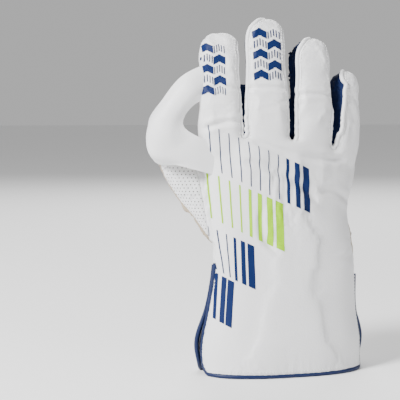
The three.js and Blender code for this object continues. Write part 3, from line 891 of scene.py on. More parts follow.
@dataclass(frozen=True)
class SeamLine:
    """Ordered points between two panels, with the normals of the skin there."""

    points: Array
    normals: Array

    @property
    def length(self) -> float:
        """Length of the line."""
        return float(run_of(self.points)[-1])

    def smooth(self, rounds: int, step: float) -> "SeamLine":
        """The line without its jags, at even steps.

        Args:
            rounds: Rounds of averaging.
            step: Distance between points.

        Returns:
            The new line.
        """
        points, normals = self.points.copy(), self.normals.copy()
        for _ in range(rounds):
            points[1:-1] = (points[:-2] + 2 * points[1:-1] + points[2:]) / 4
            normals[1:-1] = (normals[:-2] + 2 * normals[1:-1] + normals[2:]) / 4
        both = np.concatenate([points, normals], axis=1)
        length = run_of(points)
        at = np.linspace(0, length[-1], max(3, int(round(length[-1] / step)) + 1))
        both = np.stack([np.interp(at, length, both[:, column]) for column in range(6)], axis=1)
        return SeamLine(both[:, :3], unit(both[:, 3:]))

    def lifted(self, distance: Array | float) -> Array:
        """Points moved out along the normals."""
        return self.points + self.normals * np.reshape(distance, (-1, 1))

    def sideways(self) -> Array:
        """Unit directions along the skin, across the line."""
        along = np.gradient(self.points, axis=0)
        return unit(np.cross(self.normals, along))


def seam_lines(surface: Surface, label: Array, first: int, second: int) -> list[SeamLine]:
    """Lines where two panels meet, the longest first.

    Args:
        surface: The cut skin.
        label: Panel of each face.
        first: One panel.
        second: The other.

    Returns:
        The lines.
    """
    pairs = surface.sides()
    owner = np.tile(label, 3)
    order = np.lexsort((pairs[:, 1], pairs[:, 0]))
    pairs, owner = pairs[order], owner[order]
    same = (pairs[1:] == pairs[:-1]).all(axis=1)
    one, other = owner[:-1][same], owner[1:][same]
    wanted = ((one == first) & (other == second)) | ((one == second) & (other == first))
    links: dict[int, list[int]] = {}
    for a, b in pairs[:-1][same][wanted]:
        links.setdefault(int(a), []).append(int(b))
        links.setdefault(int(b), []).append(int(a))
    normals = surface.normals()
    lines = []
    ends = sorted(links, key=lambda vertex: len(links[vertex]) != 1)
    while ends:
        start = ends.pop(0)
        chain = [start]
        while links.get(chain[-1]):
            step = links[chain[-1]].pop()
            links[step].remove(chain[-1])
            chain.append(step)
        if len(chain) > 2:
            lines.append(SeamLine(surface.place[chain], normals[chain]))
    return sorted(lines, key=lambda line: -line.length)


def new_mesh(name: str, places: Array, faces: Sequence[Sequence[int]]) -> bpy.types.Object:
    """Adds a mesh object at the origin.

    Args:
        name: Its name.
        places: Places of the vertices.
        faces: Vertices of each face.

    Returns:
        The object.
    """
    mesh = bpy.data.meshes.new(name)
    corners = [tuple(map(int, face)) for face in faces]
    mesh.from_pydata([tuple(place) for place in places], [], corners)
    mesh.update()
    made = bpy.data.objects.new(name, mesh)
    bpy.context.collection.objects.link(made)
    return made


def select_only(piece: bpy.types.Object) -> None:
    """Makes one object the active and only selected one.

    Args:
        piece: The object.
    """
    bpy.ops.object.select_all(action="DESELECT")
    piece.select_set(True)
    bpy.context.view_layer.objects.active = piece


def smooth_shaded(piece: bpy.types.Object) -> bpy.types.Object:
    """The object, shaded smooth all over."""
    piece.data.polygons.foreach_set("use_smooth", [True] * len(piece.data.polygons))
    return piece


def apply_all(piece: bpy.types.Object) -> None:
    """Applies every modifier of an object.

    Args:
        piece: The object.
    """
    select_only(piece)
    for name in [modifier.name for modifier in piece.modifiers]:
        bpy.ops.object.modifier_apply(modifier=name)


def ring_loft(rings: Sequence[Array]) -> tuple[Array, Faces]:
    """Closed loft of rings with as many points each.

    Args:
        rings: Points of each ring.

    Returns:
        Places and faces.
    """
    count = len(rings[0])
    faces: Faces = []
    for ring in range(len(rings) - 1):
        low, high = ring * count, (ring + 1) * count
        for at in range(count):
            after = (at + 1) % count
            faces.append((low + at, low + after, high + after, high + at))
    faces.append(tuple(reversed(range(count))))
    faces.append(tuple(range((len(rings) - 1) * count, len(rings) * count)))
    return np.concatenate(rings), faces


class Crease(NamedTuple):
    """Valley in the leather between two points of X and Z, in millimetres.

    The side is -1 for the back and 1 for the palm.
    """

    start: tuple[float, float]
    end: tuple[float, float]
    bow: float
    width: float
    depth: float
    side: int


CREASES = (
    Crease((-48.0, 188.0), (-84.0, 140.0), 3.0, 4.5, 4.2, -1),
    Crease((-60.0, 160.0), (-80.0, 122.0), -3.0, 4.0, 2.4, -1),
    Crease((16.0, 277.0), (42.0, 275.0), 1.5, 1.6, 0.8, -1),
    Crease((-30.0, 274.0), (-2.0, 273.0), 1.0, 1.8, 0.6, -1),
    Crease((54.0, 250.0), (73.0, 247.0), 1.0, 1.8, 0.6, -1),
    Crease((52.0, 128.0), (74.0, 118.0), 1.5, 2.2, 1.4, -1),
    Crease((56.0, 116.0), (74.0, 106.0), 1.0, 2.0, 1.4, -1),
    Crease((48.0, 140.0), (72.0, 136.0), 2.0, 2.6, 1.1, -1),
    Crease((30.0, 196.0), (66.0, 170.0), 4.0, 7.0, 1.3, -1),
    Crease((-74.0, 226.0), (-42.0, 232.0), 2.0, 2.4, 2.0, 1),
    Crease((-30.0, 214.0), (60.0, 196.0), -5.0, 3.2, 2.0, 1),
    Crease((-40.0, 196.0), (30.0, 160.0), 6.0, 3.6, 2.0, 1),
    Crease((-26.0, 150.0), (-12.0, 112.0), -6.0, 3.2, 1.8, 1),
    Crease((34.0, 168.0), (66.0, 158.0), 3.0, 3.0, 1.4, 1),
    Crease((-34.0, 262.0), (2.0, 262.0), 1.0, 2.0, 1.2, 1),
    Crease((12.0, 256.0), (46.0, 256.0), 1.0, 2.0, 1.2, 1),
    Crease((-72.0, 262.0), (-40.0, 262.0), 1.0, 2.0, 1.2, 1),
)


LEATHER_CLOTH = {
    "quality": 3, "mass": 0.3,
    "tension_stiffness": 18, "compression_stiffness": 18,
    "shear_stiffness": 6, "bending_stiffness": 1.2,
    "use_pressure": True, "uniform_pressure_force": 4.0,
    "shrink_min": -0.03, "vertex_group_mass": "seams",
}


@dataclass
class PaddedForm:
    """The whole padded glove as one closed skin, puffed between its seams by a cloth run."""

    shape: GloveShape
    voxel: float = 1.5 * MM
    angles: int = 96
    body_rings: int = 70
    tube_rings: int = 44
    foot: float = 6 * MM
    puff_limit: float = 2.4 * MM
    puff_frames: int = 20
    groove_depth: float = 0.9 * MM
    groove_reach: float = 1.6 * MM
    gusset_sink: float = 2.6 * MM

    def lofts(self) -> bpy.types.Object:
        """Closed lofts of the body, the fingers and the thumb in one object.

        Returns:
            The joined object.
        """
        angle = np.linspace(0, 2 * math.pi, self.angles, endpoint=False)
        parts: list[tuple[Array, Faces]] = []
        heights = np.linspace(-self.foot, self.shape.knuckle_height, self.body_rings)
        rings = []
        for height in heights:
            ring = self.shape.body_point(np.full(self.angles, max(height, 0.0)), angle)
            ring[:, 2] += min(height, 0.0)
            rings.append(ring)
        parts.append(ring_loft(rings))
        low = FINGER_RINGS[0].up
        for finger in FINGERS:
            ups = low + (1 - low) * np.linspace(0, 1, self.tube_rings)
            parts.append(ring_loft([
                self.shape.finger_point(finger, np.full(self.angles, up), angle) for up in ups
            ]))
        parts.append(ring_loft([
            self.shape.thumb_point(np.full(self.angles, at), angle)
            for at in np.linspace(0, 1, self.tube_rings)
        ]))
        places, faces = [], []
        for place, part_faces in parts:
            start = sum(len(p) for p in places)
            places.append(place)
            faces.extend([tuple(start + v for v in face) for face in part_faces])
        made = new_mesh("form", np.concatenate(places), faces)
        select_only(made)
        bpy.ops.object.mode_set(mode="EDIT")
        bpy.ops.mesh.select_all(action="SELECT")
        bpy.ops.mesh.normals_make_consistent(inside=False)
        bpy.ops.object.mode_set(mode="OBJECT")
        return made

    def united(self) -> bpy.types.Object:
        """One even skin over all lofts, with filleted joints.

        Returns:
            The remeshed object.
        """
        made = self.lofts()
        remesh = made.modifiers.new("unite", "REMESH")
        remesh.mode = "VOXEL"
        remesh.voxel_size = self.voxel
        smooth = made.modifiers.new("fillet", "LAPLACIANSMOOTH")
        smooth.iterations = 2
        smooth.lambda_factor = 0.6
        smooth.lambda_border = 0.0
        apply_all(made)
        return made

    def nearness(self, rest: Array) -> Array:
        """Rough distance of each place to the nearest seam.

        Args:
            rest: Places on the form.

        Returns:
            The distances.
        """
        best = np.full(len(rest), 1.0)
        own = self.shape.panel_at(rest)
        for level_at in self.shape.seams():
            level = np.abs(level_at(rest))
            close = np.flatnonzero(level < 8 * MM)
            if len(close) == 0:
                continue
            best[close] = np.minimum(best[close], self.true_gap(level_at, rest, close, own))
        return best

    def true_gap(self, level_at: Field, rest: Array, close: Array, own: Array) -> Array:
        """Distance to one seam line, only where the panels on its two sides differ.

        Args:
            level_at: The seam's field.
            rest: Places.
            close: Numbers of the places near the seam.
            own: Panel of each place.

        Returns:
            Distances, a metre where the seam parts nothing.
        """
        step = 0.1 * MM
        here = rest[close]
        level = level_at(here)
        slope = np.stack([
            (level_at(here + step * axis) - level) / step for axis in np.eye(3)
        ], axis=1)
        size = np.maximum(np.linalg.norm(slope, axis=1, keepdims=True), 0.2)
        beyond = here - slope / size**2 * (level[:, None] + np.sign(level)[:, None] * 0.8 * MM)
        parted = self.shape.panel_at(beyond) != own[close]
        return np.where(parted, np.abs(level) / size[:, 0], 1.0)

    def puff(self, made: bpy.types.Object, rest: Array) -> Array:
        """Blows the panels up between their seams with a cloth run.

        Args:
            made: The united skin.
            rest: Places of its vertices.

        Returns:
            The new places.
        """
        gap = self.nearness(rest)
        pinned = made.vertex_groups.new(name="seams")
        for index in np.flatnonzero((gap < 1.3 * MM) | (rest[:, 2] < 2 * MM)):
            pinned.add([int(index)], 1.0, "REPLACE")
        cloth = made.modifiers.new("cloth", "CLOTH")
        for name, value in LEATHER_CLOTH.items():
            setattr(cloth.settings, name, value)
        cloth.settings.effector_weights.gravity = 0.0
        cloth.collision_settings.use_collision = False
        scene = bpy.context.scene
        for number in range(1, self.puff_frames + 1):
            scene.frame_set(number)
        graph = bpy.context.evaluated_depsgraph_get()
        result = made.evaluated_get(graph)
        moved = np.empty(len(rest) * 3)
        result.data.vertices.foreach_get("co", moved)
        made.modifiers.remove(cloth)
        scene.frame_set(1)
        return moved.reshape(-1, 3)

    def build(self) -> tuple[Surface, Array]:
        """Makes the skin and cuts it along its seams.

        Returns:
            The surface and the panel of each of its faces.
        """
        made = self.united()
        rest = np.array([vertex.co for vertex in made.data.vertices])
        place = rest.copy()
        moved = self.puff(made, rest) - rest
        length = np.linalg.norm(moved, axis=1, keepdims=True)
        place = rest + moved * self.puff_limit / (length + self.puff_limit)
        edges = np.array([edge.vertices[:] for edge in made.data.edges])
        fall = self.shape.knuckle_drop * self.shape.fall_share(rest[:, 0])
        above = rest[:, 2] - self.shape.knuckle_height + fall + 3 * MM
        self.relax(place, edges, np.exp(-((above / (13 * MM)) ** 2)), 45)
        quads = np.array([polygon.vertices[:] for polygon in made.data.polygons])
        bpy.data.objects.remove(made)
        first = np.linalg.norm(place[quads[:, 0]] - place[quads[:, 2]], axis=1)
        second = np.linalg.norm(place[quads[:, 1]] - place[quads[:, 3]], axis=1)
        near = quads[first <= second]
        far = quads[first > second]
        faces = np.concatenate([
            near[:, [0, 1, 2]], near[:, [0, 2, 3]], far[:, [0, 1, 3]], far[:, [1, 2, 3]]
        ])
        surface = Surface(place, rest, faces)
        for level_at in self.shape.seams():
            surface.cut(level_at)
        label = surface.absorb_crumbs(self.shape.panel_at(surface.rest[surface.faces].mean(axis=1)))
        self.fold(surface)
        self.groove(surface, label)
        return surface, label

    @staticmethod
    def relax(place: Array, edges: Array, weight: Array, rounds: int) -> None:
        """Evens out a skin where its weight is high.

        Args:
            place: Places of the vertices, changed in place.
            edges: Pairs of vertices.
            weight: How far each vertex follows, from 0 to 1.
            rounds: Rounds of averaging.
        """
        count = np.bincount(edges.ravel(), minlength=len(place))[:, None]
        for _ in range(rounds):
            total = np.stack([
                np.bincount(edges[:, 0], place[edges[:, 1], axis], len(place))
                + np.bincount(edges[:, 1], place[edges[:, 0], axis], len(place))
                for axis in range(3)
            ], axis=1)
            place += (total / count - place) * (0.6 * weight[:, None])

    def fold(self, surface: Surface) -> None:
        """Lays the leather's soft folds.

        Args:
            surface: The cut skin, changed in place.
        """
        rest = surface.rest
        normals = surface.normals()
        x, _, z = (rest / MM).T
        height = np.zeros(len(rest))
        for crease in CREASES:
            start, end = np.array(crease.start), np.array(crease.end)
            along = (end - start) / np.linalg.norm(end - start)
            offset = np.stack([x, z], axis=1) - start
            run = offset @ along
            span = np.linalg.norm(end - start)
            bow = crease.bow * np.sin(np.clip(run / span, 0, 1) * math.pi)
            across = offset @ np.array([-along[1], along[0]]) - bow
            ends = ease((run + 6) / 12) * ease((span + 6 - run) / 12)
            side = ease(0.5 - crease.side * normals[:, 1] * 2)
            valley = np.exp(-((across / crease.width) ** 2))
            ridge = np.exp(-(((np.abs(across) - 1.9 * crease.width) / (1.1 * crease.width)) ** 2))
            height += (0.45 * ridge - valley) * crease.depth * ends * side
        soft = noise_at(rest * 38)
        broad = noise_at(rest * 16 + 7.0)
        gather = noise_at(rest * np.array([60.0, 60.0, 210.0]) + 3.0)
        wrist = np.exp(-(((z - 112) / 16) ** 2)) * ease((np.abs(x) - 38) / 30)
        cuff = ease((104 - z) / 10)
        height += 0.55 * soft * (1 - 0.4 * cuff) + 1.0 * broad * ease(z / 30) + 1.0 * gather * wrist
        surface.place += normals * (height * ease(z / 8) * MM)[:, None]
        surface.place[:, 0] += self.shape.palm_bulge(rest)

    def groove(self, surface: Surface, label: Array) -> None:
        """Sinks the skin along its seams.

        Args:
            surface: The cut skin, changed in place.
            label: Panel of each face.
        """
        seam = surface.seam_points(label)
        tree = KDTree(len(seam))
        for at, index in enumerate(seam):
            tree.insert(surface.place[index], at)
        tree.balance()
        gap = np.array([tree.find(place)[2] for place in surface.place])
        depth = self.groove_depth * np.exp(-((gap / self.groove_reach) ** 2))
        order = list(Panel)
        for panel in GUSSETS:
            own = np.unique(surface.faces[label == order.index(panel)])
            depth[own] += self.gusset_sink * ease(gap[own] / (6 * MM))
        surface.place -= surface.normals() * depth[:, None]


@dataclass
class PanelSet:
    """The padded form's panels as separate pieces with a thickness."""

    surface: Surface
    label: Array
    shift: Array
    wall: float = 2.0 * MM

    def piece(self, panel: Panel, name: str) -> bpy.types.Object:
        """One panel as an object.

        Args:
            panel: Which panel.
            name: Name of the object.

        Returns:
            The object, with its wall turned inward.
        """
        faces = self.surface.faces[self.label == list(Panel).index(panel)]
        used, index = np.unique(faces, return_inverse=True)
        places = self.surface.place[used] + self.shift
        made = smooth_shaded(new_mesh(name, places, index.reshape(-1, 3)))
        self.drop_crumbs(made)
        solid = made.modifiers.new("wall", "SOLIDIFY")
        solid.thickness = self.wall
        solid.offset = -1
        solid.use_rim = True
        apply_all(made)
        return made

    @staticmethod
    def drop_crumbs(made: bpy.types.Object) -> None:
        """Keeps only the largest connected part of a mesh.

        Args:
            made: The object, changed in place.
        """
        grid = bmesh.new()
        grid.from_mesh(made.data)
        grid.verts.ensure_lookup_table()
        waiting = set(range(len(grid.verts)))
        groups: list[list[int]] = []
        while waiting:
            stack = [waiting.pop()]
            group = []
            while stack:
                at = stack.pop()
                group.append(at)
                for edge in grid.verts[at].link_edges:
                    other = edge.other_vert(grid.verts[at]).index
                    if other in waiting:
                        waiting.remove(other)
                        stack.append(other)
            groups.append(group)
        groups.sort(key=len)
        crumbs = [grid.verts[at] for group in groups[:-1] for at in group]
        bmesh.ops.delete(grid, geom=crumbs, context="VERTS")
        grid.to_mesh(made.data)
        grid.free()


def spline(points: Sequence[Sequence[float]], count: int) -> Array:
    """Centripetal curve through points.

    Args:
        points: What it passes.
        count: How many samples it is read at.

    Returns:
        The samples.
    """
    given = np.asarray(points, float)
    around = np.concatenate([[2 * given[0] - given[1]], given, [2 * given[-1] - given[-2]]])
    made = []
    for place in np.linspace(0, len(given) - 1, count):
        low = min(int(place), len(given) - 2)
        t = place - low
        p0, p1, p2, p3 = around[low:low + 4]
        d0, d1, d2 = (
            max(math.sqrt(np.linalg.norm(b - a)), 1e-5) for a, b in ((p0, p1), (p1, p2), (p2, p3))
        )
        t1 = ((p1 - p0) / d0 - (p2 - p0) / (d0 + d1) + (p2 - p1) / d1) * d1
        t2 = ((p2 - p1) / d1 - (p3 - p1) / (d1 + d2) + (p3 - p2) / d2) * d1
        made.append(
            (2 * t**3 - 3 * t**2 + 1) * p1 + (t**3 - 2 * t**2 + t) * t1
            + (3 * t**2 - 2 * t**3) * p2 + (t**3 - t**2) * t2
        )
    return np.array(made)


def even_steps(points: Array, step: float) -> Array:
    """Points of a line at even distances.

    Args:
        points: The line.
        step: Distance wanted.

    Returns:
        The new points, both ends kept.
    """
    length = run_of(points)
    count = max(2, int(round(length[-1] / step)) + 1)
    at = np.linspace(0, length[-1], count)
    return np.stack([np.interp(at, length, points[:, axis]) for axis in range(3)], axis=1)


def swept_tube(
    name: str, points: Array, radius: float, share: Array | None = None
) -> bpy.types.Object:
    """Round cord along a line.

    Args:
        name: Its name.
        points: The line.
        radius: Its radius.
        share: Radius at each point as a share of the radius.

    Returns:
        The object.
    """
    curve = bpy.data.curves.new(name, "CURVE")
    curve.dimensions = "3D"
    curve.bevel_depth = radius
    curve.bevel_resolution = 4
    curve.use_fill_caps = True
    line = curve.splines.new("POLY")
    line.points.add(len(points) - 1)
    shares = np.ones(len(points)) if share is None else share
    for spot, point, size in zip(line.points, points, shares):
        spot.co = (*point, 1.0)
        spot.radius = float(size)
    made = bpy.data.objects.new(name, curve)
    bpy.context.collection.objects.link(made)
    select_only(made)
    bpy.ops.object.convert(target="MESH")
    bpy.ops.object.shade_smooth_by_angle(angle=math.radians(50))
    return bpy.context.view_layer.objects.active


class WebRow(NamedTuple):
    """Row across the web: each point out, forward and up as shares of its sizes."""

    inner: tuple[float, float, float]
    middle: tuple[float, float, float]
    outer: tuple[float, float, float]
    edge: tuple[float, float, float]


WEB_ROWS = (
    WebRow((-0.2, 0.22, 0.69), (-0.2, 0.2, 0.8), (-0.2, 0.2, 0.9), (-0.25, 0.24, 1.0)),
    WebRow((0.1, 0.22, 0.65), (0.16, 0.13, 0.73), (0.24, 0.2, 0.8), (0.31, 0.35, 0.86)),
    WebRow((0.28, 0.25, 0.57), (0.41, 0.19, 0.6), (0.56, 0.28, 0.64), (0.67, 0.5, 0.65)),
    WebRow((0.36, 0.25, 0.48), (0.6, 0.2, 0.49), (0.85, 0.4, 0.5), (0.86, 0.85, 0.46)),
    WebRow((0.33, 0.22, 0.42), (0.66, 0.18, 0.37), (0.96, 0.42, 0.32), (0.7, 1.08, 0.3)),
    WebRow((0.17, 0.17, 0.37), (0.52, 0.18, 0.26), (0.87, 0.32, 0.2), (0.78, 0.75, 0.15)),
    WebRow((0.02, 0.12, 0.34), (0.15, 0.12, 0.23), (0.3, 0.15, 0.14), (0.42, 0.24, 0.1)),
    WebRow((-0.3, 0.1, 0.31), (-0.3, 0.1, 0.21), (-0.3, 0.1, 0.1), (-0.3, 0.12, 0.01)),
)


@dataclass
class Web:
    """C-shaped leather web from the index finger round the thumb's tip to the hand."""

    shape: GloveShape
    shift: Vector
    reach: float = 46 * MM
    forward: float = 40 * MM
    low: float = 182 * MM
    tall: float = 104 * MM
    wall: float = 1.8 * MM
    lining: float = 1.0 * MM
    rows: int = 120
    columns: int = 36

    def grid(self) -> Pair:
        """Places and inward normals of the web's middle.

        Returns:
            Two arrays of rows by columns by 3.
        """
        sizes = np.array([-self.reach, self.forward, self.tall])
        start = np.array([-self.shape.hand_width / 2, 0, self.low])
        rails = [
            spline([start + sizes * np.array(getattr(row, column)) for row in WEB_ROWS], self.rows)
            for column in WebRow._fields
        ]
        places = np.array([
            spline([rail[row] for rail in rails], self.columns) for row in range(self.rows)
        ])
        along = np.gradient(places, axis=0)
        across = np.gradient(places, axis=1)
        return places + np.array(self.shift), unit(np.cross(along, across))

    def sheet(self, name: str, start: float, end: float, inset: int) -> bpy.types.Object:
        """One layer of the web.

        Args:
            name: Its name.
            start: Depth of its outer face behind the web's middle.
            end: Depth of its inner face.
            inset: Columns left out at each side.

        Returns:
            The object.
        """
        places, inward = self.grid()
        if inset:
            places, inward = places[:, inset:-inset], inward[:, inset:-inset]
        rows, columns = places.shape[:2]
        outer = (places + inward * start).reshape(-1, 3)
        faces = [
            (at, at + 1, at + columns + 1, at + columns)
            for row in range(rows - 1) for at in range(row * columns, (row + 1) * columns - 1)
        ]
        made = new_mesh(name, outer, faces)
        solid = made.modifiers.new("wall", "SOLIDIFY")
        solid.thickness = end - start
        solid.offset = 1
        bevel = made.modifiers.new("edge", "BEVEL")
        bevel.width = 0.35 * (end - start)
        bevel.segments = 3
        bevel.limit_method = "ANGLE"
        apply_all(made)
        select_only(made)
        bpy.ops.object.shade_smooth_by_angle(angle=math.radians(50))
        return made


@dataclass(frozen=True)
class Paint:
    """Finish of one material."""

    name: str
    colour: tuple[float, float, float]
    roughness: float
    grain: float = 0.0
    grain_size: float = 0.0
    bump: float = 0.0
    sheen: float = 0.0
    gloss: float = 0.5


class Finish(Enum):
    """Finishes of the glove and its surroundings."""

    LEATHER = Paint("white_leather", (0.78, 0.78, 0.79), 0.45, 0.03, 760, 0.3, 0.0, 0.4)
    PEBBLED = Paint("pebbled_leather", (0.78, 0.78, 0.79), 0.48, 0.04, 430, 0.6, 0.0, 0.4)
    RUBBER = Paint("cream_rubber", (0.40, 0.33, 0.245), 0.6, 0.06, 500, 0.2, 0.0, 0.3)
    GUSSET = Paint("navy_gusset", (0.004, 0.012, 0.055), 0.85, 0.12, 900, 0.2, 0.05, 0.15)
    PIPING = Paint("navy_piping", (0.0045, 0.013, 0.06), 0.45, 0.08, 1400, 0.15, 0.0, 0.3)
    LINING = Paint("cream_lining", (0.46, 0.40, 0.31), 0.85, 0.06, 1500, 0.3, 0.05, 0.2)
    THREAD = Paint("white_thread", (0.82, 0.82, 0.81), 0.6)
    PIMPLE = Paint("rubber_pimple", (0.56, 0.48, 0.37), 0.5, gloss=0.4)
    # Painted shade: the near-black colour of the vent discs stands in for the shadow inside the
    # thumb vent's punched holes.
    HOLE_SHADE = Paint("vent_hole", (0.05, 0.045, 0.05), 0.9, gloss=0.1)
    NAVY_INK = Paint("navy_ink", (0.0045, 0.014, 0.07), 0.5, gloss=0.12)
    NEON_INK = Paint("neon_ink", (0.30, 0.60, 0.0), 0.6, gloss=0.08)
    FLOOR = Paint("floor", (0.88, 0.88, 0.88), 0.9)


@dataclass
class Dressing:
    """Makes the materials, with one shared group for grain."""

    made: dict[str, bpy.types.Material] = field(default_factory=dict)

    def grain_group(self) -> bpy.types.ShaderNodeTree:
        """Node group that mottles a colour and raises a fine grain.

        Returns:
            The group.
        """
        found = bpy.data.node_groups.get("grain")
        if found:
            return found
        group = bpy.data.node_groups.new("grain", "ShaderNodeTree")
        face = group.interface
        for name, kind in (("Colour", "NodeSocketColor"), ("Mottle", "NodeSocketFloat"),
                           ("Size", "NodeSocketFloat")):
            face.new_socket(name, in_out="INPUT", socket_type=kind)
        face.new_socket("Colour", in_out="OUTPUT", socket_type="NodeSocketColor")
        face.new_socket("Height", in_out="OUTPUT", socket_type="NodeSocketFloat")
        nodes, links = group.nodes, group.links
        start, end = nodes.new("NodeGroupInput"), nodes.new("NodeGroupOutput")
        place = nodes.new("ShaderNodeTexCoord")
        cells = nodes.new("ShaderNodeTexVoronoi")
        cells.feature = "SMOOTH_F1"
        cloud = nodes.new("ShaderNodeTexNoise")
        cloud.inputs["Scale"].default_value = 22
        cloud.inputs["Detail"].default_value = 5
        links.new(place.outputs["Object"], cells.inputs["Vector"])
        links.new(place.outputs["Object"], cloud.inputs["Vector"])
        links.new(start.outputs["Size"], cells.inputs["Scale"])
        shade = nodes.new("ShaderNodeMix")
        shade.data_type = "RGBA"
        shade.blend_type = "MULTIPLY"
        fade = nodes.new("ShaderNodeMapRange")
        fade.inputs["To Min"].default_value = 0.75
        fade.inputs["To Max"].default_value = 1.1
        links.new(cloud.outputs["Fac"], fade.inputs["Value"])
        links.new(start.outputs["Mottle"], shade.inputs["Factor"])
        links.new(start.outputs["Colour"], shade.inputs[6])
        links.new(fade.outputs["Result"], shade.inputs[7])
        links.new(shade.outputs[2], end.inputs["Colour"])
        links.new(cells.outputs["Distance"], end.inputs["Height"])
        return group

    def material(self, finish: Finish) -> bpy.types.Material:
        """Material of a finish.

        Args:
            finish: Which finish.

        Returns:
            The material.
        """
        paint = finish.value
        if paint.name in self.made:
            return self.made[paint.name]
        made = bpy.data.materials.new(paint.name)
        made.use_nodes = True
        nodes, links = made.node_tree.nodes, made.node_tree.links
        shader = nodes["Principled BSDF"]
        shader.inputs["Base Color"].default_value = (*paint.colour, 1)
        shader.inputs["Roughness"].default_value = paint.roughness
        shader.inputs["Sheen Weight"].default_value = paint.sheen
        shader.inputs["Specular IOR Level"].default_value = paint.gloss
        if paint.grain:
            grain = nodes.new("ShaderNodeGroup")
            grain.node_tree = self.grain_group()
            grain.inputs["Colour"].default_value = (*paint.colour, 1)
            grain.inputs["Mottle"].default_value = min(1.0, paint.grain * 8)
            grain.inputs["Size"].default_value = paint.grain_size
            bump = nodes.new("ShaderNodeBump")
            bump.inputs["Strength"].default_value = paint.bump
            bump.inputs["Distance"].default_value = 0.4 * MM
            links.new(grain.outputs["Colour"], shader.inputs["Base Color"])
            links.new(grain.outputs["Height"], bump.inputs["Height"])
            links.new(bump.outputs["Normal"], shader.inputs["Normal"])
        self.made[paint.name] = made
        return made

    def dress(self, piece: bpy.types.Object, finish: Finish) -> None:
        """Gives a piece its material and hangs it on the glove's body.

        Args:
            piece: The piece.
            finish: Its finish.
        """
        piece.data.materials.clear()
        piece.data.materials.append(self.material(finish))
        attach(piece, "root")


class Lamp(NamedTuple):
    """Soft lamp: where it stands, its width and its watts."""

    name: str
    place: tuple[float, float, float]
    size: float
    power: float


LAMPS = (
    Lamp("key", (-1.5, -0.7, 1.35), 0.5, 100),
    Lamp("fill", (1.3, -1.9, 0.9), 1.0, 10),
    Lamp("back", (0.6, 1.9, 1.7), 1.2, 48),
)


@dataclass
class Studio:
    """Pale floor, soft lights and the camera."""

    azimuth: float = -13.0
    elevation: float = 4.5
    lens: float = 100.0
    distance: float = 1.02
    aim: tuple[float, float, float] = (-0.0556, 0.0, 0.160)
    glove_middle: tuple[float, float, float] = (0.0, 0.0, 0.16)
    floor_size: float = 40.0
    backdrop: float = 0.5

    def build(self, dressing: Dressing) -> None:
        """Makes the stage.

        Args:
            dressing: Where the floor's material comes from.
        """
        bpy.ops.object.select_all(action="DESELECT")
        bpy.ops.mesh.primitive_plane_add(size=self.floor_size, location=(0, 0, 0))
        floor = bpy.context.view_layer.objects.active
        floor.name = "floor"
        floor.data.materials.append(dressing.material(Finish.FLOOR))
        for lamp in LAMPS:
            self.light(lamp)
        world = bpy.data.worlds.new("studio")
        world.use_nodes = True
        backdrop = world.node_tree.nodes["Background"]
        backdrop.inputs["Color"].default_value = (1, 1, 1, 1)
        backdrop.inputs["Strength"].default_value = self.backdrop
        bpy.context.scene.world = world
        self.camera()

    def light(self, lamp: Lamp) -> None:
        """Adds a soft lamp aimed at the glove.

        Args:
            lamp: Its sizes.
        """
        data = bpy.data.lights.new(lamp.name, "AREA")
        data.size = lamp.size
        data.energy = lamp.power
        made = bpy.data.objects.new(lamp.name, data)
        made.location = lamp.place
        made.rotation_mode = "QUATERNION"
        aim = Vector(self.glove_middle) - Vector(lamp.place)
        made.rotation_quaternion = aim.to_track_quat("-Z", "Y")
        bpy.context.collection.objects.link(made)

    def camera(self) -> None:
        """Adds the camera at the photo's angle."""
        turn, rise = math.radians(self.azimuth), math.radians(self.elevation)
        back = Vector((
            math.sin(turn) * math.cos(rise), -math.cos(turn) * math.cos(rise), math.sin(rise)
        ))
        data = bpy.data.cameras.new("camera")
        data.lens = self.lens
        made = bpy.data.objects.new("camera", data)
        made.location = Vector(self.aim) + back * self.distance
        made.rotation_mode = "QUATERNION"
        made.rotation_quaternion = (-back).to_track_quat("-Z", "Y")
        bpy.context.collection.objects.link(made)
        bpy.context.scene.camera = made


PANEL_FINISH = {
    Panel.BACK: Finish.LEATHER,
    Panel.PALM: Finish.RUBBER,
    **{gusset: Finish.GUSSET for gusset in GUSSETS},
    Panel.THUMB_BACK: Finish.LEATHER,
    Panel.THUMB_VENT: Finish.LEATHER,
    Panel.THUMB_FACING: Finish.RUBBER,
    Panel.WRIST: Finish.LEATHER,
    Panel.CUFF_PALM: Finish.PEBBLED,
}


class BarBand(NamedTuple):
    """Band of printed upright bars, in millimetres of the glove's own frame.

    The first bar is at left and top; the others follow at the pitch, each lower by the fall.
    The last few grow thick, and the first ones lean.
    """

    ink: str
    left: float
    top: float
    pitch: float
    fall: float
    length: float
    thin: float
    widths: tuple[float, ...]
    count: int
    lean: float


BAR_BANDS = (
    BarBand("navy", -79.0, 233.0, 8.85, 3.9, 40.5, 0.9, (2.9, 4.6, 6.4), 12, 5.0),
    BarBand("neon", -78.0, 190.0, 8.7, 3.9, 43.0, 1.3, (2.6, 3.8, 5.2, 7.2), 9, 4.0),
    BarBand("navy", -76.0, 139.0, 6.9, 3.1, 39.0, 0.9, (2.3, 3.8, 6.0), 7, 8.0),
    BarBand("navy", -63.0, 93.5, 5.3, 2.9, 41.0, 1.9, (2.1, 3.7, 5.2), 3, -4.0),
)


class DashBlock(NamedTuple):
    """Block of printed dashes and chevrons on a finger, in millimetres."""

    left: float
    top: float
    pitch: float
    period: float
    rows: int


DASH_BLOCKS = (
    DashBlock(-74.5, 303.0, 2.1, 19.0, 5),
    DashBlock(-27.5, 317.0, 2.6, 19.0, 5),
)


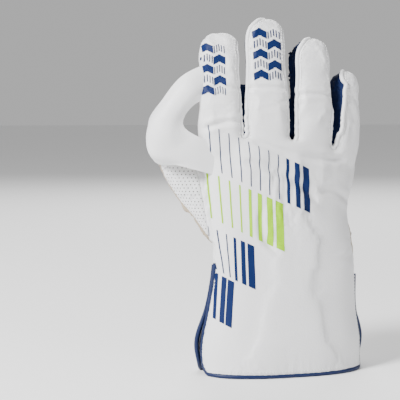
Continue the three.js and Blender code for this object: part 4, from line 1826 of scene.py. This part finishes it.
@dataclass
class SkinTree:
    """Skin of some panels, to set small pieces on."""

    tree: BVHTree
    normals: Array
    faces: Array

    @classmethod
    def of_panels(
        cls, surface: Surface, label: Array, panels: Sequence[Panel], shift: Array
    ) -> "SkinTree":
        """Makes the tree of some panels.

        Args:
            surface: The cut skin.
            label: Panel of each face.
            panels: Which panels.
            shift: From the glove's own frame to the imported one.

        Returns:
            The tree.
        """
        order = list(Panel)
        faces = surface.faces[np.isin(label, [order.index(panel) for panel in panels])]
        places = surface.place + shift
        tree = BVHTree.FromPolygons([tuple(place) for place in places], faces.tolist())
        return cls(tree, surface.normals(), faces)

    def at(self, hit: tuple) -> Pair | None:
        """Place and smooth normal of a hit, or nothing.

        Args:
            hit: What a ray or a search found.

        Returns:
            Place and normal, or nothing.
        """
        place, _, face, _ = hit
        if place is None:
            return None
        normal = self.normals[self.faces[face]].mean(axis=0)
        return np.array(place), normal / np.linalg.norm(normal)

    def seen_from(self, side: int, x: float, z: float) -> Pair | None:
        """First place met from the back (-1) or the palm (1)."""
        return self.at(self.tree.ray_cast(Vector((x, side * 0.3, z)), Vector((0, -side, 0))))

    def seen_along(self, towards: Vector, across: float, z: float) -> Pair | None:
        """First place met on a level line that passes beside the origin."""
        side = Vector((towards.y, -towards.x, 0.0))
        start = side * across + Vector((0, 0, z)) - towards * 0.4
        return self.at(self.tree.ray_cast(start, towards))

    def nearest(self, place: Array) -> Pair | None:
        """Nearest place of the skin."""
        return self.at(self.tree.find_nearest(Vector(place)))


@dataclass
class PrintMaker:
    """Ink shapes that lie on the back of the glove."""

    skin: SkinTree
    shift: Array
    lift: float = 0.26 * MM
    step: float = 0.9 * MM
    slope: float = 0.5
    places: dict[str, list[Array]] = field(default_factory=lambda: {"navy": [], "neon": []})
    faces: dict[str, Faces] = field(default_factory=lambda: {"navy": [], "neon": []})

    def bar(self, ink: str, top: Point2, bottom: Point2, width: float, slope: float) -> None:
        """Adds one bar with slanted ends.

        Args:
            ink: Its ink.
            top: X and Z of its upper middle.
            bottom: X and Z of its lower middle.
            width: Its width.
            slope: How steeply its ends fall to the right.
        """
        rows = max(2, int(abs(top[1] - bottom[1]) / self.step) + 1)
        columns = max(2, int(width / self.step) + 2)
        hits: dict[tuple[int, int], int] = {}
        places, faces = self.places[ink], self.faces[ink]
        for row in range(rows):
            share = row / (rows - 1)
            x = top[0] + (bottom[0] - top[0]) * share
            z = top[1] + (bottom[1] - top[1]) * share
            for column in range(columns):
                side = (column / (columns - 1) - 0.5) * width
                found = self.skin.seen_from(-1, x + side + self.shift[0], z - side * slope)
                if found is None or found[1][1] > -0.12:
                    continue
                hits[row, column] = len(places)
                places.append(found[0] + found[1] * self.lift)
        for row, column in hits:
            corners = [(row, column), (row + 1, column), (row + 1, column + 1), (row, column + 1)]
            if all(corner in hits for corner in corners):
                quad = [hits[corner] for corner in corners]
                sides = zip(quad, quad[1:] + quad[:1])
                if max(np.linalg.norm(places[a] - places[b]) for a, b in sides) < 4 * self.step:
                    faces.append(tuple(quad))

    def bands(self) -> None:
        """Adds the graded bars."""
        for band in BAR_BANDS:
            for at in range(band.count):
                late = at - (band.count - len(band.widths))
                width = band.widths[late] if late >= 0 else band.thin
                left = band.left + band.pitch * at
                top = band.top - band.fall * at
                fade = max(0.0, 1 - at / (0.6 * band.count)) if band.lean > 0 else 1.0
                foot = ((left + band.lean * fade) * MM, (top - band.length) * MM)
                self.bar(band.ink, (left * MM, top * MM), foot, width * MM, self.slope)

    def dashes(self) -> None:
        """Adds the rows of dashes and chevrons on two fingers."""
        half = 5
        for block in DASH_BLOCKS:
            for column in range(2 * half):
                group, place = divmod(column, half)
                tilt = self.slope * (1, 1, 0, -1, -1)[place] * -1
                rise = -self.slope * abs(place - 2) * block.pitch - group * 0.8
                for row in range(block.rows):
                    solid = (row + group) % 2 == 0
                    height = block.period * (0.36 if solid else 0.34)
                    width = block.pitch * (1.0 if solid else 0.4)
                    top = block.top + rise - row * block.period / 2
                    x = (block.left + block.pitch * column) * MM
                    self.bar("navy", (x, top * MM), (x, (top - height) * MM), width * MM, tilt)

    def build(self) -> dict[str, bpy.types.Object]:
        """Makes the printed pieces.

        Returns:
            One object for each ink.
        """
        self.bands()
        self.dashes()
        return {
            ink: smooth_shaded(new_mesh(f"print_{ink}", np.array(places), self.faces[ink]))
            for ink, places in self.places.items()
        }


def stamped(name: str, spots: Sequence[tuple[Array, Array, Array]], shape: Array,
            faces: Sequence[tuple[int, ...]]) -> bpy.types.Object:
    """Copies of one small shape joined in one object.

    Args:
        name: Its name.
        spots: Middle, direction along and normal of each copy.
        shape: Points of the shape: along, across and up.
        faces: Its faces.

    Returns:
        The object.
    """
    middle = np.array([spot[0] for spot in spots])
    along = np.array([spot[1] for spot in spots])
    up = unit(np.array([spot[2] for spot in spots]))
    along = unit(along - (along * up).sum(axis=1, keepdims=True) * up)
    across = np.cross(up, along)
    frames = np.stack([along, across, up], axis=1)
    places = (middle[:, None, :] + np.einsum("pk,nkc->npc", shape, frames)).reshape(-1, 3)
    count = len(shape)
    copies = [
        tuple(at * count + vertex for vertex in face) for at in range(len(spots)) for face in faces
    ]
    return smooth_shaded(new_mesh(name, places, copies))


def dome_shape(radius: float, height: float, sides: int) -> tuple[Array, Faces]:
    """Low round dome with its foot below the skin.

    Args:
        radius: Its radius.
        height: Its height.
        sides: Sides of its rings.

    Returns:
        Points and faces.
    """
    turn = np.arange(sides) * 2 * math.pi / sides
    points = []
    for size, level in ((radius, -0.1), (0.72 * radius, 0.7)):
        points += [(size * math.cos(t), size * math.sin(t), level * height) for t in turn]
    points.append((0.0, 0.0, height))
    faces: Faces = []
    for at in range(sides):
        after = (at + 1) % sides
        faces.append((at, after, sides + after, sides + at))
        faces.append((sides + at, sides + after, 2 * sides))
    return np.array(points), faces


def stitch_shape(length: float, radius: float) -> tuple[Array, Faces]:
    """One stitch, arched over the skin.

    Args:
        length: Its length.
        radius: Its thread's radius.

    Returns:
        Points and faces.
    """
    sides = 6
    points = []
    rings = (
        (-0.5, -0.9, 0.5), (-0.36, 0.35, 1.0), (0, 0.75, 1.0), (0.36, 0.35, 1.0), (0.5, -0.9, 0.5)
    )
    for share, level, size in rings:
        for at in range(sides):
            turn = at * 2 * math.pi / sides
            points.append((share * length, size * radius * math.cos(turn),
                           radius * level + size * radius * math.sin(turn)))
    faces: Faces = []
    for ring in range(4):
        for at in range(sides):
            after = (at + 1) % sides
            faces.append((ring * sides + at, ring * sides + after, (ring + 1) * sides + after,
                          (ring + 1) * sides + at))
    faces.append(tuple(reversed(range(sides))))
    faces.append(tuple(range(4 * sides, 5 * sides)))
    return np.array(points), faces


@dataclass
class Glove:
    """The whole glove, built over its CAD nodes."""

    shape: GloveShape = field(default_factory=GloveShape)
    dressing: Dressing = field(default_factory=Dressing)
    stitch_pitch: float = 3.0 * MM
    stitches: list[tuple[Array, Array, Array]] = field(default_factory=list)
    surface: Surface = field(init=False)
    label: Array = field(init=False)

    @property
    def shift(self) -> Array:
        """From the glove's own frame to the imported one.

        Returns:
            Its X, Y and Z.
        """
        back_low, back_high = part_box("back_cuff_piping")
        _, palm_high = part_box("palm_cuff_piping")
        return np.array([(back_low.x + back_high.x) / 2, (back_low.y + palm_high.y) / 2, 0.0])

    def build(self) -> None:
        """Builds and dresses every piece."""
        self.surface, self.label = PaddedForm(self.shape).build()
        LOG.info("skin of %d faces", len(self.surface.faces))
        panels = PanelSet(self.surface, self.label, self.shift)
        for panel, finish in PANEL_FINISH.items():
            piece = panels.piece(panel, "soft_" + panel.value)
            self.dressing.dress(piece, finish)
            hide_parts(panel.value)
        self.pipings()
        self.welts()
        self.side_edges()
        self.web()
        self.prints()
        self.pimples()
        self.vents()
        self.seam_stitches()
        thread = stamped("stitches", self.stitches, *stitch_shape(2.2 * MM, 0.32 * MM))
        self.dressing.dress(thread, Finish.THREAD)

    def lines(self, first: Panel, second: Panel) -> list[SeamLine]:
        """Smoothed seam lines between two panels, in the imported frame.

        Args:
            first: One panel.
            second: The other.

        Returns:
            The lines over 12 mm long.
        """
        order = list(Panel)
        found = seam_lines(self.surface, self.label, order.index(first), order.index(second))
        return [
            SeamLine(line.points + self.shift, line.normals).smooth(6, 1.2 * MM)
            for line in found if line.length > 12 * MM
        ]

    def skin(self, *panels: Panel) -> SkinTree:
        """Skin of some panels."""
        return SkinTree.of_panels(self.surface, self.label, panels, self.shift)

    def pipings(self) -> None:
        """Bound edges of the two gauntlet panels."""
        top = self.shape.cuff_height
        right = 88 * MM
        for name, side, left, end in (
            ("back_cuff_piping", -1, top + 4 * MM, right),
            ("palm_cuff_piping", 1, top + 2 * MM, right - 4 * MM),
        ):
            path = self.shape.cuff_edge(side, left, end, -1.3 * MM)
            path[:, 0] += self.shape.palm_bulge(path) * (side > 0)
            path = path + self.shift
            piece = swept_tube("soft_" + name, even_steps(path, 1.5 * MM), self.shape.piping_radius)
            for corner in piece.data.vertices:
                corner.co.z = max(corner.co.z, 0.0)
            self.dressing.dress(piece, Finish.PIPING)
            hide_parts(name)

    def welts(self) -> None:
        """Rolled edges round the finger gaps, thick beside the next finger's gusset."""
        for index, (gusset, finger) in enumerate(zip(GUSSETS, FINGERS[1:])):
            lines = self.lines(Panel.BACK, gusset)
            LOG.info("%s: %s", gusset.value, [round(line.length, 4) for line in lines])
            middle = self.shape.centre_of(index) + self.shape.centre_of(index + 1)
            made = []
            for line in lines:
                low = line.points[:, 2].min()
                up = (line.points[:, 2] - low) / (60 * MM)
                right = ease((line.points[:, 0] - self.shift[0] - middle / 2) / (3 * MM) + 0.5)
                size = 1.2 * MM + right * 0.9 * MM
                wave = noise_at(line.points * 300 + 7.0 * index)
                crinkle = 1.3 * MM * wave * (1 - ease(up - 0.2))
                path = line.lifted(0.35 * size + np.abs(crinkle))
                path = path + line.sideways() * (0.9 * crinkle)[:, None]
                made.append(swept_tube(f"soft_{finger.name}_welt", path, 1.0 * MM, size / MM))
            piece = self.joined(made)
            self.dressing.dress(piece, Finish.LEATHER)
            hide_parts(finger.name + "_welt")

    @staticmethod
    def joined(made: Sequence[bpy.types.Object]) -> bpy.types.Object:
        """One object from several.

        Args:
            made: The pieces.

        Returns:
            The first, with the others in it.
        """
        select_only(made[0])
        for piece in made[1:]:
            piece.select_set(True)
        if len(made) > 1:
            bpy.ops.object.join()
        return made[0]

    def side_edges(self) -> None:
        """Thin rolled edge where the back meets the palm facing on both sides."""
        for number, line in enumerate(self.lines(Panel.BACK, Panel.PALM)):
            if line.length < 60 * MM:
                continue
            piece = swept_tube(f"side_edge_{number}", line.lifted(0.2 * MM), 1.25 * MM)
            self.dressing.dress(piece, Finish.LINING)

    def web(self) -> None:
        """Web and its lining."""
        web = Web(self.shape, Vector(self.shift))
        strap = web.sheet("soft_web_strap", -web.wall, 0.0, 0)
        self.dressing.dress(strap, Finish.LEATHER)
        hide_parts("web_strap")
        lining = web.sheet("soft_web_lining", 0.05 * MM, web.lining, 2)
        self.dressing.dress(lining, Finish.LINING)
        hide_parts("web_lining")
        places, inward = web.grid()
        for column in (2, web.columns - 3):
            self.sew(places[:, column] - inward[:, column] * web.wall, -inward[:, column])

    def prints(self) -> None:
        """Printed bars, dashes and chevrons."""
        inks = {"navy": Finish.NAVY_INK, "neon": Finish.NEON_INK}
        for ink, piece in PrintMaker(self.skin(Panel.BACK), self.shift).build().items():
            self.dressing.dress(piece, inks[ink])

    def pimples(self) -> None:
        """Rows of raised pimples over the rubber facings."""
        pitch = 2.15 * MM
        for name, panel in (("palm_pimples", Panel.PALM), ("thumb_pimples", Panel.THUMB_FACING)):
            skin = self.skin(panel)
            spots = []
            for row in range(-4, int(330 * MM / (pitch * 0.866))):
                for column in range(-60, 60):
                    x = (column + 0.5 * (row % 2)) * pitch
                    found = skin.seen_from(1, x, row * pitch * 0.866)
                    if found and found[1][1] > 0.3:
                        spots.append((found[0], np.array([0.0, 0.0, 1.0]), found[1]))
            piece = stamped(name, spots, *dome_shape(0.82 * MM, 0.55 * MM, 6))
            self.dressing.dress(piece, Finish.PIMPLE)
            LOG.info("%s: %d", name, len(spots))

    def vents(self) -> None:
        """Dark discs of painted shade that stand in for the punched holes of the thumb's vent
        panel, whose insides lie in shadow.
        """
        skin = self.skin(Panel.THUMB_VENT)
        pitch = 3.1 * MM
        towards = Vector((0.72, 0.69, 0.0)).normalized()
        spots = []
        for row in range(int(120 * MM / pitch), int(300 * MM / pitch)):
            for column in range(-60, 60):
                found = skin.seen_along(towards, (column + 0.5 * (row % 2)) * pitch, row * pitch)
                if found and self.shape.vent_edge((found[0] - self.shift)[None])[0] < -3 * MM:
                    spots.append((found[0], np.array([0.0, 0.0, 1.0]), found[1]))
        # Painted shade: flat dark discs just over the skin take the place of the shadowed holes,
        # which are not cut.
        turn = np.arange(10) * 2 * math.pi / 10
        disc = MM * np.stack([0.6 * np.cos(turn), 0.6 * np.sin(turn), np.full(10, 0.06)], axis=1)
        piece = stamped("thumb_vent_holes", spots, disc, [tuple(range(10))])
        self.dressing.dress(piece, Finish.HOLE_SHADE)

    def sew(self, points: Array, normals: Array) -> None:
        """Adds a row of stitches along a line.

        Args:
            points: The line.
            normals: Normals of the skin along it.
        """
        line = SeamLine(points, normals).smooth(1, self.stitch_pitch)
        along = np.gradient(line.points, axis=0)
        self.stitches.extend(zip(line.points, along, line.normals))

    def sew_beside(self, line: SeamLine, panel: Panel, distance: float) -> None:
        """Sews along a seam, on one panel's side of it.

        Args:
            line: The seam.
            panel: The panel that is sewn.
            distance: How far from the seam.
        """
        skin = self.skin(panel)
        across = line.sideways()
        middle = len(line.points) // 2
        gaps = []
        for side in (-1, 1):
            aim = line.points[middle] + side * across[middle] * distance
            gaps.append(np.linalg.norm(skin.nearest(aim)[0] - aim))
        side = (-1, 1)[int(np.argmin(gaps))]
        moved = [skin.nearest(point) for point in line.points + side * across * distance]
        self.sew(np.array([place for place, _ in moved]), np.array([normal for _, normal in moved]))

    def seam_stitches(self) -> None:
        """Stitches beside the finger gaps, the vent panel and the gauntlet's seams."""
        for gusset in GUSSETS:
            for line in self.lines(Panel.BACK, gusset):
                self.sew_beside(line, Panel.BACK, 3.4 * MM)
        thumb = self.lines(Panel.THUMB_BACK, Panel.THUMB_VENT)[0]
        self.sew_beside(thumb, Panel.THUMB_BACK, 1.8 * MM)
        for line in self.lines(Panel.PALM, Panel.CUFF_PALM)[:1]:
            self.sew_beside(line, Panel.CUFF_PALM, 2.6 * MM)
        for panel, side, rows in ((Panel.CUFF_PALM, 1, (5.2, 8.4)), (Panel.BACK, -1, (4.4,))):
            skin = self.skin(panel)
            for inset in rows:
                self.sew_inside(skin, side, inset * MM)

    def sew_inside(self, skin: SkinTree, side: int, inset: float) -> None:
        """Sews inside the bound edge of one gauntlet panel.

        Args:
            skin: The panel's skin.
            side: -1 for the back and 1 for the palm.
            inset: How far from the edge.
        """
        high = self.shape.cuff_height - 12 * MM
        points = self.shape.cuff_edge(side, high, high, 0.0)
        middle = np.array([0.0, points[:, 1].mean() + side * 30 * MM, self.shape.cuff_height / 2])
        places, normals = [], []
        for point, along in zip(points, np.gradient(points, axis=0)):
            edge = skin.nearest(point + self.shift)
            inward = unit(np.cross(edge[1], along))
            if inward @ (middle - point) < 0:
                inward = -inward
            place, normal = skin.nearest(point + self.shift + inward * inset)
            if place[2] > 0:
                places.append(place)
                normals.append(normal)
        self.sew(np.array(places), np.array(normals))


def main() -> None:
    """Builds the scene in order."""
    logging.basicConfig(level=logging.INFO)
    glove = Glove()
    Studio().build(glove.dressing)
    glove.build()


if __name__ == "__main__":
    main()
